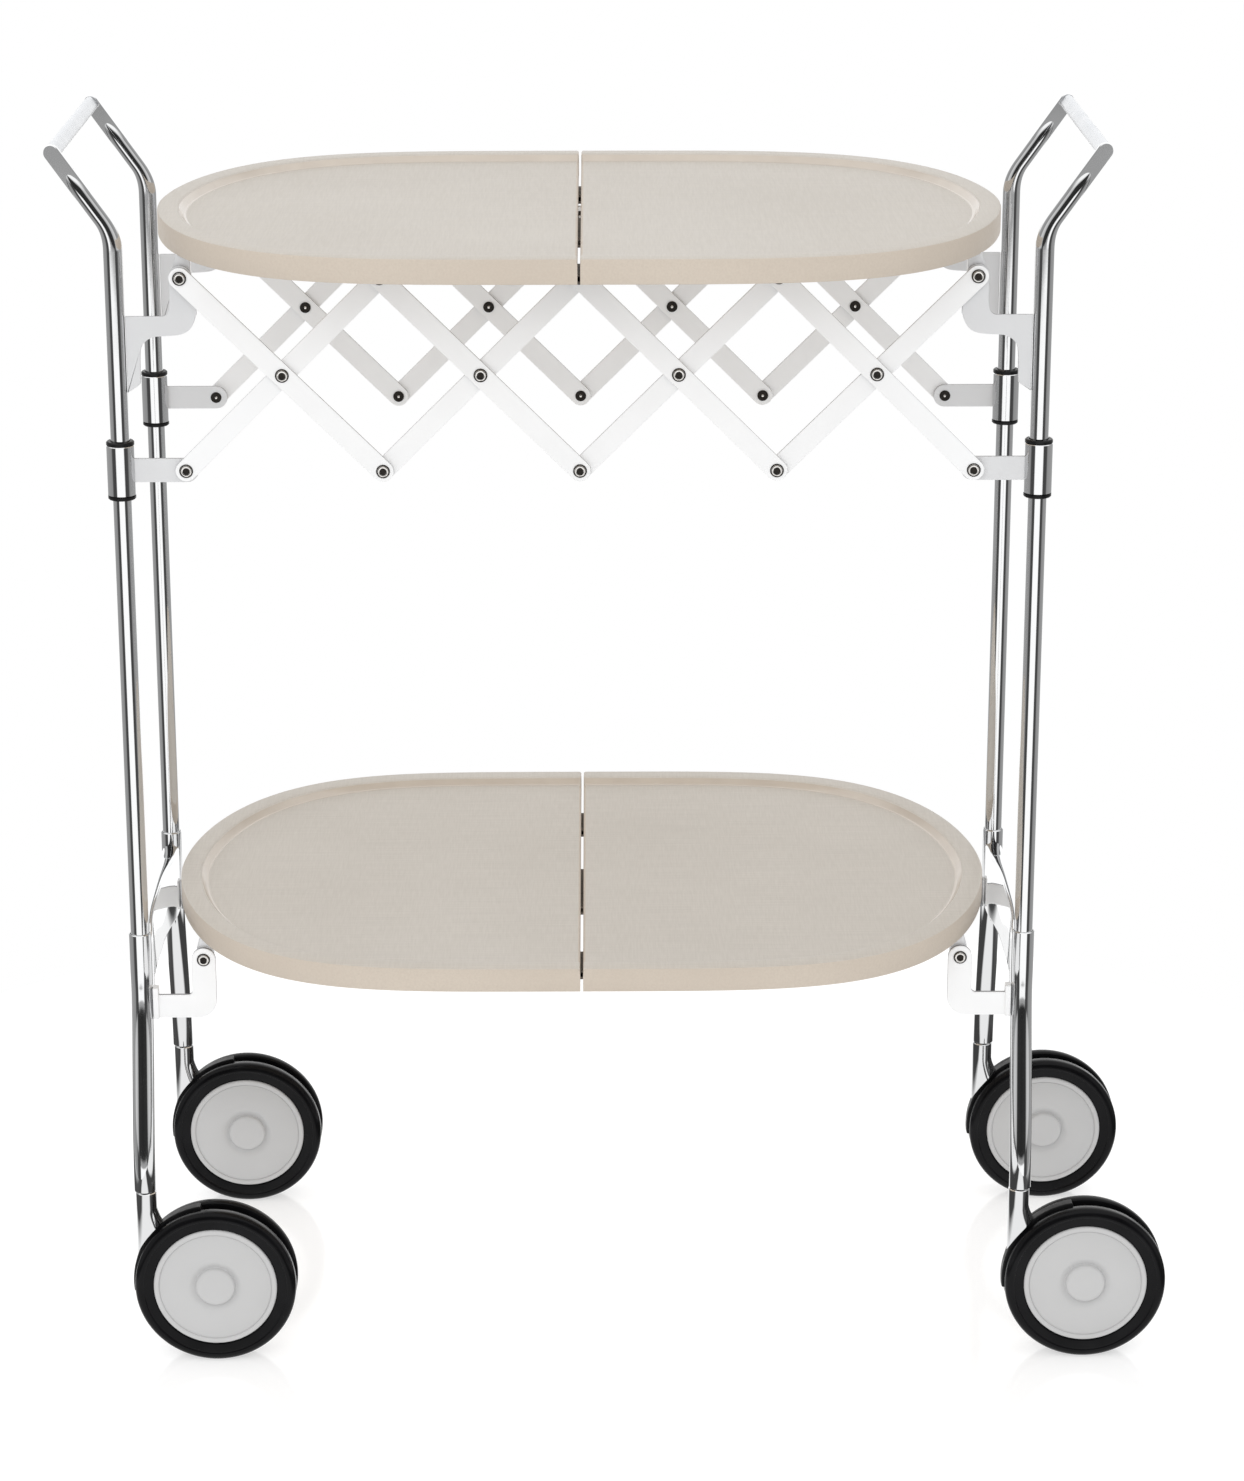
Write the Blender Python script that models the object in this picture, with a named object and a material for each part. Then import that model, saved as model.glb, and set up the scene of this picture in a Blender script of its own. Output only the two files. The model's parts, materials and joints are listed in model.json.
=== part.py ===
"""Folding serving trolley: two trays that fold up between two wheeled side frames.

Run with: blender --background --python part.py
Metres, +Z up, the long side along X, the front at -Y, standing on Z = 0, shown unfolded.
The casters all trail towards +X, so the origin, under the middle of the whole outline, lies
a little towards +X of the trays' slot. Positions below are measured from the slot.
Each side frame is drawn with u, the distance from its tube axis towards the slot.
"""
import math

import bmesh
import bpy
from mathutils import Matrix, Vector

# Fits
fit_gap = 0.0003
tool_overrun = 0.002

# Lattice and trays in the open position
half_span = 0.258
pivot_height = 0.753
lower_pivot_height = 0.2826
lattice_drop = 0.128
bays_per_side = 2
crossing_share = 0.5

# Lattice links, rivets and their layers, counted outwards from the arms just outside the tubes' axes
arm_setback = 0.0004
link_thickness = 0.002
link_width = 0.014
rivet_shank_radius = 0.0023
rivet_head_radius = 0.0045
rivet_inner_head_radius = 0.0042
rivet_head_height = 0.0008

# Side frames
tube_offset = 0.043
frame_half_depth = 0.107
tube_radius = 0.0063
socket_top = 0.3014
socket_floor = 0.276
socket_bottom = 0.270
socket_radius = 0.0076
socket_shoulder_share = 0.1

# Bent tube ends and the bar between them
bend_rise = 0.017
bend_radius = 0.035
bend_angle = math.radians(35)
handle_length = 0.058
tongue_length = 0.040
tongue_half_width = 0.0053
tongue_half_thickness = 0.0028
handle_bar_width = 0.010
handle_bar_thickness = 0.007
handle_bar_round = 0.003

# Leg castings
leg_foot = 0.1225
leg_splay = 0.027
leg_half_width = 0.0074
leg_half_depth = 0.0085
foot_half_depth = 0.0074
crossbar_bottom = 0.243
crossbar_top = 0.2915
crossbar_half_thickness = 0.006
crossbar_mid_half_thickness = 0.004
crossbar_bow = 0.003
crossbar_round = 0.003
crossbar_bow_share = 0.8

# Casters
caster_inset = 0.0006
caster_trail = 0.0466
wheel_radius = 0.0555
wheel_width = 0.0102
wheel_pair_half_width = 0.0148
tyre_round = 0.003
tread_edge = 0.0022
disc_radius = 0.042
disc_recess = 0.0016
hub_radius = 0.0134
hub_rise = 0.0012
axle_radius = 0.0039
hub_cap_thickness = 0.0025
hood_radius = 0.0572
hood_half_width = 0.0040
hood_boss_radius = 0.011
hood_start = math.radians(100)
hood_end = math.radians(187)
hood_boss_turn = math.radians(60)
swivel_pin_radius = 0.0032
swivel_pin_length = 0.020
fork_radius = 0.0072
fork_neck = 0.012
fork_flare = 0.020
fork_flare_power = 1.5
fork_bottom_half_depth = 0.0075

# Upper brackets, measured from the pivot
bracket_drop = 0.076
bracket_shoulder = 0.0256
eye_radius = 0.0075
pin_radius = 0.0026
pin_head_radius = 0.0045
upper_bracket_thickness = link_thickness
upper_bracket_side_shares = (
    (1.23, -0.285), (1.216, -0.34), (1.18, -0.4), (1.12, -0.452), (1.03, -0.486), (0.92, -0.502),
    (0.6, -0.514), (0.505, -0.533), (0.437, -0.56), (0.388, -0.6), (0.366, -0.65), (0.352, -0.9),
    (0.335, -0.93),
)
upper_bracket_fillet_shares = ((0.742, -0.333), (0.805, -0.29), (0.825, -0.2))

# Lower brackets, measured from the lower pivot
lower_bracket_thickness = 0.003
lower_arm_top = 0.0255
lower_arm_height = 0.0167
lower_eye_radius = 0.0082
lower_corner_radius = 0.013
lower_inner_radius = 0.003
flange_thickness = 0.0039
flange_height = 0.0225
flange_width = 0.008

# Sleeves that slide on the tubes
sleeve_radius = 0.0095
sleeve_half_length = 0.0168
bush_wall = 0.001
collar_height = 0.0024
collar_inset = 0.0003
arm_half_height = 0.008

# Trays, measured from their pivots
tray_half_depth = 0.209
tray_overhang = 0.0238
tray_height = 0.0165
tray_above_pivot = 0.0138
tray_end_shares = (4.4, 1.8)
rim_width = 0.0135
rim_step = 0.005
rim_slope = 0.0045
rim_round = 0.0010
floor_thickness = 0.0055
under_rim_width = 0.012
half_slot = 0.0009

# Tray hinges and lugs
hinge_rise = 0.009
barrel_radius = 0.0034
hinge_pin_radius = 0.0016
hinge_leaf_length = 0.012
end_knuckle_width = 0.012
middle_knuckle_width = 0.026
end_hinge_share = 0.7
lug_radius = 0.0065
lug_width = 0.0087
lug_lean_share = 0.4

# Facet counts
tube_segments = 16
rivet_segments = 10
wheel_segments = 24
outline_segments = 56
arc_steps = 6
corner_steps = 2
sharp_angle = math.radians(32)

# Worked out from the sizes above
bay = half_span / bays_per_side
frame_x = half_span + tube_offset
lattice_inner = frame_half_depth + arm_setback
bend_start = pivot_height + bend_rise
link_pitch = link_thickness + fit_gap
weld_distance = fit_gap / 100
hole_radius = rivet_shank_radius + fit_gap
tray_half_length = half_span + tray_overhang
caster_x = frame_x - caster_inset
caster_y = frame_half_depth + leg_splay
sleeve_height = pivot_height - lattice_drop
bore_radius = tube_radius + fit_gap
flange_start = leg_half_width + fit_gap
bush_radius = bore_radius + bush_wall
lug_inner = lattice_inner - fit_gap - lug_width
FRONT = -1
REAR = 1
DEPTH_NAMES = {FRONT: "front", REAR: "rear"}
SIDE_NAMES = {-1: "left", 1: "right"}


def make_material(name, colour, roughness, metallic):
    """Return a Principled material of one colour."""
    material = bpy.data.materials.new(name)
    material.use_nodes = True
    shader = material.node_tree.nodes["Principled BSDF"]
    shader.inputs["Base Color"].default_value = (*colour, 1.0)
    shader.inputs["Roughness"].default_value = roughness
    shader.inputs["Metallic"].default_value = metallic
    return material


def from_origin(place):
    """Turn a place measured from the slot into one measured from the origin."""
    handle_tip, _, _ = handle_point(bend_radius * bend_angle + handle_length - tongue_half_width)
    handle_reach = frame_x + handle_tip + tongue_half_width
    wheel_reach = caster_x + caster_trail + wheel_radius
    return Vector(place) + Vector(((handle_reach - wheel_reach) / 2, 0, 0))


def add_joint(name, location, parent=None):
    """Return an empty at a place: the axis of a moving piece, or a frame's foot."""
    empty = bpy.data.objects.new(name, None)
    empty.empty_display_size = tube_offset
    bpy.context.scene.collection.objects.link(empty)
    empty.matrix_world = Matrix.Translation(from_origin(location))
    if parent is not None:
        bpy.context.view_layer.update()
        empty.parent = parent
        empty.matrix_parent_inverse = parent.matrix_world.inverted()
    return empty


def add_solid(name, shape, material, joint):
    """Turn a bmesh into an object carried by a joint's empty."""
    bmesh.ops.recalc_face_normals(shape, faces=shape.faces)
    mesh = bpy.data.meshes.new(name)
    shape.to_mesh(mesh)
    shape.free()
    mesh.shade_smooth()
    mesh.set_sharp_from_angle(angle=sharp_angle)
    if material is not None:
        mesh.materials.append(material)
    solid = bpy.data.objects.new(name, mesh)
    solid.parent = joint
    bpy.context.scene.collection.objects.link(solid)
    return solid


def combine(solid, shape, operation):
    """Unite a solid with a shape, or cut the shape from it, as a Boolean modifier."""
    label = f"{solid.name}_{operation.lower()}_{len(solid.modifiers)}"
    tool = add_solid(label, shape, None, solid.parent)
    tool.hide_render = True
    tool.display_type = "WIRE"
    modifier = solid.modifiers.new(label, "BOOLEAN")
    modifier.operation = operation
    modifier.solver = "EXACT"
    modifier.object = tool


def unite(solid, shape):
    combine(solid, shape, "UNION")


def cut(solid, shape):
    combine(solid, shape, "DIFFERENCE")


def rod(shape, start, end, radius, segments=tube_segments):
    """Add a closed cylinder from one point to another."""
    start = Vector(start)
    span = Vector(end) - start
    turn = Vector((0, 0, 1)).rotation_difference(span).to_matrix().to_4x4()
    place = Matrix.Translation(start + span / 2) @ turn
    bmesh.ops.create_cone(shape, cap_ends=True, segments=segments, radius1=radius,
                          radius2=radius, depth=span.length, matrix=place)


def rods(*pieces, segments=tube_segments):
    """Return a shape of separate cylinders, each given as start, end and radius."""
    shape = bmesh.new()
    for start, end, radius in pieces:
        rod(shape, start, end, radius, segments)
    return shape


def stepped_rod(x, z, steps, segments=rivet_segments):
    """Return a pin along Y turned from (y, radius) pairs, one pair for each face."""
    rings = []
    for y, radius in steps:
        rings.append([Vector((x + radius * math.cos(t), y, z + radius * math.sin(t)))
                      for t in turn_angles(segments)])
    return loft(rings)


def turn_angles(count):
    """Return evenly spaced angles round a full turn."""
    return [math.tau * step / count for step in range(count)]


def arc(centre, radius, start, end, steps=arc_steps):
    """Return points (x, z) along an arc."""
    return [(centre[0] + radius * math.cos(start + (end - start) * step / steps),
             centre[1] + radius * math.sin(start + (end - start) * step / steps))
            for step in range(steps + 1)]


def plate(outline, y_start, y_end):
    """Return a flat plate: an (x, z) outline made thick along Y."""
    shape = bmesh.new()
    corners = [shape.verts.new((x, y_start, z)) for x, z in outline]
    face = shape.faces.new(corners)
    grown = bmesh.ops.extrude_face_region(shape, geom=[face])
    moved = [item for item in grown["geom"] if isinstance(item, bmesh.types.BMVert)]
    bmesh.ops.translate(shape, verts=moved, vec=(0, y_end - y_start, 0))
    return shape


def loft(rings, shape=None):
    """Skin a row of rings with equal point counts, and cap both ends."""
    shape = shape or bmesh.new()
    rows = [[shape.verts.new(point) for point in ring] for ring in rings]
    for lower, upper in zip(rows, rows[1:]):
        for index in range(len(lower)):
            after = (index + 1) % len(lower)
            shape.faces.new((lower[index], lower[after], upper[after], upper[index]))
    shape.faces.new(rows[0])
    shape.faces.new(rows[-1])
    return shape


def turned(profile, centre, axis, segments):
    """Return a body turned from a closed (radius, height) profile about an axis."""
    shape = bmesh.new()
    axis = Vector(axis)
    out = Vector((1, 0, 0))
    corners = [shape.verts.new(Vector(centre) + out * radius + axis * height)
               for radius, height in profile]
    edges = [shape.edges.new((corner, after))
             for corner, after in zip(corners, corners[1:] + corners[:1])]
    bmesh.ops.spin(shape, geom=corners + edges, cent=centre, axis=axis, angle=math.tau,
                   steps=segments, use_merge=True)
    bmesh.ops.remove_doubles(shape, verts=shape.verts, dist=weld_distance)
    return shape


def ellipse(centre, first, second, count=tube_segments):
    """Return a ring of points: centre + first cos t + second sin t."""
    return [centre + first * math.cos(t) + second * math.sin(t) for t in turn_angles(count)]


def rounded_box_ring(centre, half_width, half_height, radius, wide, high):
    """Return a ring of a rectangle with rounded corners in the plane of two directions."""
    ring = []
    corners = ((1, 1, 0), (-1, 1, 1), (-1, -1, 2), (1, -1, 3))
    for across, up, quarter in corners:
        start = quarter * math.pi / 2
        for a, b in arc((across * (half_width - radius), up * (half_height - radius)),
                        radius, start, start + math.pi / 2, corner_steps):
            ring.append(centre + wide * a + high * b)
    return ring


def smooth_step(share):
    """Rise from 0 to 1 with level ends."""
    share = min(max(share, 0), 1)
    return share * share * (3 - 2 * share)


def layer_inner(index):
    """Return how far from the middle a lattice layer's inner face lies."""
    return lattice_inner + index * link_pitch


# Side frames
def handle_point(along):
    """Return the tube's (outward, z) place past the start of its bend, and its lean."""
    arc_length = bend_radius * bend_angle
    if along < arc_length:
        lean = along / bend_radius
        outward = bend_radius * (1 - math.cos(lean))
        return outward, bend_start + bend_radius * math.sin(lean), lean
    straight = along - arc_length
    outward = bend_radius * (1 - math.cos(bend_angle)) + straight * math.sin(bend_angle)
    height = bend_start + bend_radius * math.sin(bend_angle) + straight * math.cos(bend_angle)
    return outward, height, bend_angle


def add_tube(side, depth, material, joint):
    """Add one upright tube: straight, bent outwards and flattened to a tongue at its end."""
    y = depth * frame_half_depth
    across = Vector((0, 1, 0))
    rings = []
    bottom = socket_floor + fit_gap
    for height in (bottom, bend_start):
        centre = Vector((0, y, height))
        rings.append(ellipse(centre, Vector((side, 0, 0)) * tube_radius, across * tube_radius))
    arc_length = bend_radius * bend_angle
    total = arc_length + handle_length
    tongue_start = total - tongue_length
    places = [arc_length * (step + 1) / arc_steps for step in range(arc_steps)]
    places += [tongue_start + tongue_length * step / arc_steps for step in range(1, arc_steps)]
    for along in places:
        narrow = smooth_step(along / arc_length)
        wide = tube_radius + (tongue_half_width - tube_radius) * narrow
        flat = smooth_step((along - tongue_start) / (tongue_length / 2))
        thick = tube_radius + (tongue_half_thickness - tube_radius) * flat
        rings.append(tube_ring(side, y, along, wide, thick))
    round_start = total - tongue_half_width
    for step in range(1, arc_steps):
        turn = math.pi / 2 * step / arc_steps
        along = round_start + tongue_half_width * math.sin(turn)
        rings.append(tube_ring(side, y, along, tongue_half_width * math.cos(turn), tongue_half_thickness))
    add_solid(f"{DEPTH_NAMES[depth]}_tube_{SIDE_NAMES[side]}", loft(rings), material, joint)


def tube_ring(side, y, along, half_width, half_thickness):
    """Return the tube's cross-section at a place past the start of its bend."""
    outward, height, lean = handle_point(along)
    centre = Vector((side * outward, y, height))
    across = Vector((side * math.cos(lean), 0, -math.sin(lean)))
    return ellipse(centre, across * half_width, Vector((0, half_thickness, 0)))


def add_handle_bar(side, material, joint):
    """Add the flat bar that joins the front and rear tongues."""
    arc_length = bend_radius * bend_angle
    along = arc_length + handle_length - handle_bar_width / 2 - fit_gap
    outward, height, lean = handle_point(along)
    wide = Vector((side * math.sin(lean), 0, math.cos(lean)))
    thick = Vector((side * math.cos(lean), 0, -math.sin(lean)))
    reach = frame_half_depth - tongue_half_thickness - fit_gap
    rings = [rounded_box_ring(Vector((side * outward, y, height)), handle_bar_width / 2,
                              handle_bar_thickness / 2, handle_bar_round, wide, thick)
             for y in (-reach, reach)]
    add_solid(f"handle_bar_{SIDE_NAMES[side]}", loft(rings), material, joint)


def leg_y(height):
    """Return how far from the middle a leg's centre lies at a height."""
    return frame_half_depth + leg_splay * smooth_step((socket_bottom - height) / (socket_bottom - leg_foot))


def leg_shape(depth):
    """Return one leg: a round socket that runs into a splayed oval leg."""
    rings = []
    for height in (socket_top, socket_bottom):
        centre = Vector((0, depth * frame_half_depth, height))
        rings.append(ellipse(centre, Vector((socket_radius, 0, 0)), Vector((0, socket_radius, 0))))
    steps = arc_steps
    shoulder = socket_bottom - (socket_top - socket_bottom) * socket_shoulder_share
    for step in range(steps + 1):
        share = step / steps
        height = shoulder + (leg_foot - shoulder) * share
        half_depth = leg_half_depth + (foot_half_depth - leg_half_depth) * share
        centre = Vector((0, depth * leg_y(height), height))
        rings.append(ellipse(centre, Vector((leg_half_width, 0, 0)), Vector((0, half_depth, 0))))
    return loft(rings)


def crossbar_shape(side):
    """Return the bar between the legs, bowed outwards to clear the tray's end."""
    rings = []
    steps = arc_steps
    middle = (crossbar_top + crossbar_bottom) / 2
    half_height = (crossbar_top - crossbar_bottom) / 2
    for step in range(-steps, steps + 1):
        share = step / steps
        bow = max(0, 1 - (share / crossbar_bow_share) ** 2)
        half = crossbar_half_thickness + (crossbar_mid_half_thickness - crossbar_half_thickness) * bow
        centre = Vector((side * crossbar_bow * bow, share * frame_half_depth, middle))
        rings.append(rounded_box_ring(centre, half, half_height, crossbar_round,
                                      Vector((1, 0, 0)), Vector((0, 0, 1))))
    return loft(rings)


def add_leg_casting(side, material, joint):
    """Add one side's two legs and crossbar, with sockets for the tubes and casters."""
    casting = add_solid(f"leg_casting_{SIDE_NAMES[side]}", leg_shape(FRONT), material, joint)
    unite(casting, leg_shape(REAR))
    unite(casting, crossbar_shape(side))
    holes = []
    for depth in (FRONT, REAR):
        y = depth * frame_half_depth
        holes.append(((0, y, socket_floor), (0, y, socket_top + tool_overrun), bore_radius))
        y = depth * caster_y
        x = -side * caster_inset
        top = leg_foot + swivel_pin_length + fit_gap
        holes.append(((x, y, leg_foot - tool_overrun), (x, y, top), swivel_pin_radius + fit_gap))
    cut(casting, rods(*holes))


def inward(side, points):
    """Turn (u, z) points of a side frame into its own (x, z)."""
    return [(-side * u, z) for u, z in points]


def eye_and_pin(side, depth, height, plate_outer, steps_out):
    """Return a bracket's pin: its inner head, its shank and the steps beyond the plate."""
    steps = [(lug_inner - fit_gap - rivet_head_height, rivet_inner_head_radius),
             (lug_inner - fit_gap, rivet_inner_head_radius),
             (lug_inner - fit_gap, pin_radius),
             (plate_outer - link_thickness / 2, pin_radius)]
    steps += steps_out
    steps = [(depth * y, radius) for y, radius in steps]
    return stepped_rod(-side * tube_offset, height, steps)


def add_upper_bracket(side, depth, material, joint):
    """Add the S-shaped plate on a tube that carries the upper tray and the lattice."""
    edge = tube_radius + fit_gap
    outline = [(edge, pivot_height - bracket_drop), (edge, pivot_height - bracket_shoulder)]
    outline += [(u * tube_offset, pivot_height + z * bracket_drop)
                for u, z in upper_bracket_fillet_shares]
    outline += arc((tube_offset, pivot_height), eye_radius, math.pi, 0, 2 * arc_steps)
    outline += [(u * tube_offset, pivot_height + z * bracket_drop)
                for u, z in upper_bracket_side_shares]
    inner = layer_inner(0)
    outer = inner + upper_bracket_thickness
    shape = plate(inward(side, outline), depth * inner, depth * outer)
    name = f"{DEPTH_NAMES[depth]}_upper_bracket_{SIDE_NAMES[side]}"
    bracket = add_solid(name, shape, material, joint)
    link_layer = 2 if side == depth else 1
    face = layer_inner(link_layer)
    steps_out = [(outer - link_thickness / 2, rivet_inner_head_radius),
                 (face - fit_gap, rivet_inner_head_radius),
                 (face - fit_gap, rivet_shank_radius),
                 (face + link_pitch, rivet_shank_radius),
                 (face + link_pitch, rivet_head_radius),
                 (face + link_pitch + rivet_head_height, rivet_head_radius)]
    if link_layer == 1:
        steps_out = [(outer - link_thickness / 2, rivet_shank_radius)] + steps_out[3:]
    unite(bracket, eye_and_pin(side, depth, pivot_height, outer, steps_out))


def lower_bracket_outline():
    """Return the L-shaped arm of a lower bracket as (u, z) points."""
    pin = lower_pivot_height
    top = pin - lower_arm_top
    bottom = top - lower_arm_height
    left = tube_offset - lower_eye_radius
    right = tube_offset + lower_eye_radius
    start = flange_start + flange_thickness / 2
    outline = [(start, bottom), (start, top)]
    outline += arc((left - lower_inner_radius, top + lower_inner_radius), lower_inner_radius,
                   -math.pi / 2, 0)
    outline += arc((tube_offset, pin), lower_eye_radius, math.pi, 0, 2 * arc_steps)
    outline += arc((right - lower_corner_radius, bottom + lower_corner_radius),
                   lower_corner_radius, 0, -math.pi / 2)
    return outline


def add_lower_bracket(side, depth, material, joint):
    """Add the L-shaped bracket on a leg that carries the lower tray."""
    inner = layer_inner(0)
    outer = inner + lower_bracket_thickness
    shape = plate(inward(side, lower_bracket_outline()), depth * inner, depth * outer)
    name = f"{DEPTH_NAMES[depth]}_lower_bracket_{SIDE_NAMES[side]}"
    bracket = add_solid(name, shape, material, joint)
    bottom = lower_pivot_height - lower_arm_top - lower_arm_height - fit_gap
    far = flange_start + flange_thickness
    middle = (inner + outer) / 2
    flange = [(flange_start, bottom), (far, bottom), (far, bottom + flange_height),
              (flange_start, bottom + flange_height)]
    unite(bracket, plate(inward(side, flange), depth * (middle - flange_width / 2),
                         depth * (middle + flange_width / 2)))
    steps_out = [(outer - link_thickness / 2, pin_head_radius),
                 (outer + rivet_head_height, pin_head_radius)]
    unite(bracket, eye_and_pin(side, depth, lower_pivot_height, outer, steps_out))


def add_frame(side, materials, axis):
    """Add a side frame: tubes, handle bar, legs and brackets."""
    foot = add_joint(f"{SIDE_NAMES[side]}_frame_foot", (side * frame_x, 0, 0), axis)
    add_handle_bar(side, materials["bar"], foot)
    add_leg_casting(side, materials["chrome"], foot)
    for depth in (FRONT, REAR):
        add_tube(side, depth, materials["chrome"], foot)
        add_upper_bracket(side, depth, materials["plate"], foot)
        add_lower_bracket(side, depth, materials["plate"], foot)


# Sleeves
def add_sleeve(side, depth, materials, joint):
    """Add a sleeve with its lattice arm, and the bush inside it with a collar at each end."""
    y = depth * frame_half_depth
    bore = bush_radius + fit_gap
    profile = [(bore, -sleeve_half_length), (sleeve_radius, -sleeve_half_length),
               (sleeve_radius, sleeve_half_length), (bore, sleeve_half_length)]
    up = (0, 0, 1)
    name = f"{DEPTH_NAMES[depth]}_sleeve_{SIDE_NAMES[side]}"
    sleeve = add_solid(name, turned(profile, (0, y, 0), up, tube_segments), materials["chrome"], joint)
    start = (bore + sleeve_radius) / 2
    outline = [(start, arm_half_height), (start, -arm_half_height)]
    outline += arc((tube_offset, 0), arm_half_height, -math.pi / 2, math.pi / 2, 2 * arc_steps)
    inner = layer_inner(0)
    unite(sleeve, plate(inward(side, outline), depth * inner, depth * (inner + link_thickness)))
    unite(sleeve, stepped_rod(-side * tube_offset, 0,
                              [(depth * (inner - rivet_head_height), rivet_inner_head_radius),
                               (depth * (inner + link_thickness / 2), rivet_inner_head_radius)]))
    collar_low = sleeve_half_length + fit_gap
    collar_top = collar_low + collar_height
    collar_radius = sleeve_radius - collar_inset
    profile = [(bore_radius, -collar_top), (collar_radius, -collar_top), (collar_radius, -collar_low),
               (bush_radius, -collar_low), (bush_radius, collar_low), (collar_radius, collar_low),
               (collar_radius, collar_top), (bore_radius, collar_top)]
    name = f"{DEPTH_NAMES[depth]}_bush_{SIDE_NAMES[side]}"
    add_solid(name, turned(profile, (0, y, 0), up, tube_segments), materials["black"], joint)


def add_sleeves(side, materials, frame):
    joint = add_joint(f"sleeves_{SIDE_NAMES[side]}_axis", (side * frame_x, 0, sleeve_height), frame)
    for depth in (FRONT, REAR):
        add_sleeve(side, depth, materials, joint)


# Lattice
def link_ends(bay_index, rising):
    """Return the world (x, level) of a link's lower-x and higher-x end; level 1 is the top."""
    x = -half_span + bay_index * bay
    return (x, 0 if rising else 1), (x + bay, 1 if rising else 0)


def link_pivots(bay_index, rising):
    """Return each pivot of a link as its share along the link and what happens there."""
    pivots = [(crossing_share, "joined")]
    for share, (x, level) in zip((0, 1), link_ends(bay_index, rising)):
        if abs(x) < bay / 2:
            pivots.append((share, "centre"))
        elif abs(x) > half_span - bay / 2:
            pivots.append((share, "pinned" if level else "arm"))
        else:
            pivots.append((share, "joined"))
    return pivots


def rivet_steps(layer, kind):
    """Return the (y, radius) steps that a link's rivet has at a pivot, or none for a hole."""
    inner = layer_inner(layer)
    outer = inner + link_thickness
    middle = inner + link_thickness / 2
    head = [(middle, rivet_head_radius), (outer + rivet_head_height, rivet_head_radius)]
    if kind == "arm":
        if layer == 1:
            return head
        return [(layer_inner(1), rivet_inner_head_radius), (middle, rivet_inner_head_radius)] + head
    if kind == "centre":
        if layer == 2:
            return head
        return [(inner - rivet_head_height, rivet_inner_head_radius), (middle, rivet_inner_head_radius)]
    if kind == "joined" and layer == 2:
        behind = layer_inner(1) - fit_gap
        return [(behind - rivet_head_height, rivet_inner_head_radius), (behind, rivet_inner_head_radius),
                (behind, rivet_shank_radius), (middle, rivet_shank_radius)] + head
    return None


def add_link(bay_index, rising, depth, material, joint):
    """Add one lattice link, with the rivets that it carries and the holes for its neighbours'."""
    layer = 2 if rising == (depth == REAR) else 1
    levels = (pivot_height - lattice_drop, pivot_height)
    axis = joint.matrix_world.translation
    start, end = [(from_origin((x, 0, levels[level])) - axis).xz
                  for x, level in link_ends(bay_index, rising)]
    lean = math.atan2(end.y - start.y, end.x - start.x)
    outline = arc(start, link_width / 2, lean + math.pi / 2, lean + 3 * math.pi / 2)
    outline += arc(end, link_width / 2, lean - math.pi / 2, lean + math.pi / 2)
    inner = layer_inner(layer)
    shape = plate(outline, depth * inner, depth * (inner + link_thickness))
    slope = "rising" if rising else "falling"
    link = add_solid(f"{DEPTH_NAMES[depth]}_link_{bay_index + 1}_{slope}", shape, material, joint)
    holes = []
    for share, kind in link_pivots(bay_index, rising):
        spot = start.lerp(end, share)
        steps = rivet_steps(layer, kind)
        if steps is None:
            reach = (inner - tool_overrun, inner + link_thickness + tool_overrun)
            ends = [Vector((spot.x, depth * y, spot.y)) for y in reach]
            holes.append((*ends, hole_radius))
        else:
            unite(link, stepped_rod(spot.x, spot.y, [(depth * y, radius) for y, radius in steps]))
    if holes:
        cut(link, rods(*holes, segments=rivet_segments))


def add_lattice_half(side, material, frame):
    """Add two bays of links, each hung from the pivot that its joint turns on."""
    parent = frame
    outermost = 0 if side < 0 else 2 * bays_per_side - 1
    for step in range(bays_per_side):
        bay_index = outermost - side * step
        top_x = side * (half_span - step * bay)
        middle_x = top_x - side * bay / 2
        for hung, x, z in ((True, top_x, pivot_height), (False, middle_x, pivot_height - lattice_drop / 2)):
            rising = hung == (side > 0)
            slope = "rising" if rising else "falling"
            joint = add_joint(f"lattice_{bay_index + 1}_{slope}_axis", (x, 0, z), parent)
            for depth in (FRONT, REAR):
                add_link(bay_index, rising, depth, material, joint)
            parent = joint


# Trays
def tray_ring(inset, height, centre):
    """Return the tray's outline, drawn in by an inset, as a ring round the trolley's middle."""
    along_power, across_power = tray_end_shares
    ring = []
    for t in turn_angles(outline_segments):
        x = math.copysign(abs(math.cos(t)) ** (2 / along_power), math.cos(t))
        y = math.copysign(abs(math.sin(t)) ** (2 / across_power), math.sin(t))
        ring.append(Vector((centre + x * (tray_half_length - inset), y * (tray_half_depth - inset), height)))
    return ring


def tray_shape(side):
    """Return half a tray: the whole outline with its rim, cut at the slot."""
    low = tray_above_pivot
    high = low + tray_height
    floor = high - rim_step
    under = floor - floor_thickness
    centre = -side * half_span
    levels = ((under_rim_width + rim_round, under), (under_rim_width, low), (rim_round, low),
              (0, low + rim_round), (0, high - rim_round), (rim_round, high), (rim_width, high),
              (rim_width + rim_slope, floor))
    shape = loft([tray_ring(inset, height, centre) for inset, height in levels])
    inner_way = Vector((-side, 0, 0))
    bmesh.ops.bisect_plane(shape, geom=shape.verts[:] + shape.edges[:] + shape.faces[:],
                           dist=weld_distance, plane_co=inner_way * (half_span - half_slot),
                           plane_no=inner_way, clear_outer=True)
    open_edges = [edge for edge in shape.edges if edge.is_boundary]
    bmesh.ops.contextual_create(shape, geom=open_edges)
    return shape


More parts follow.
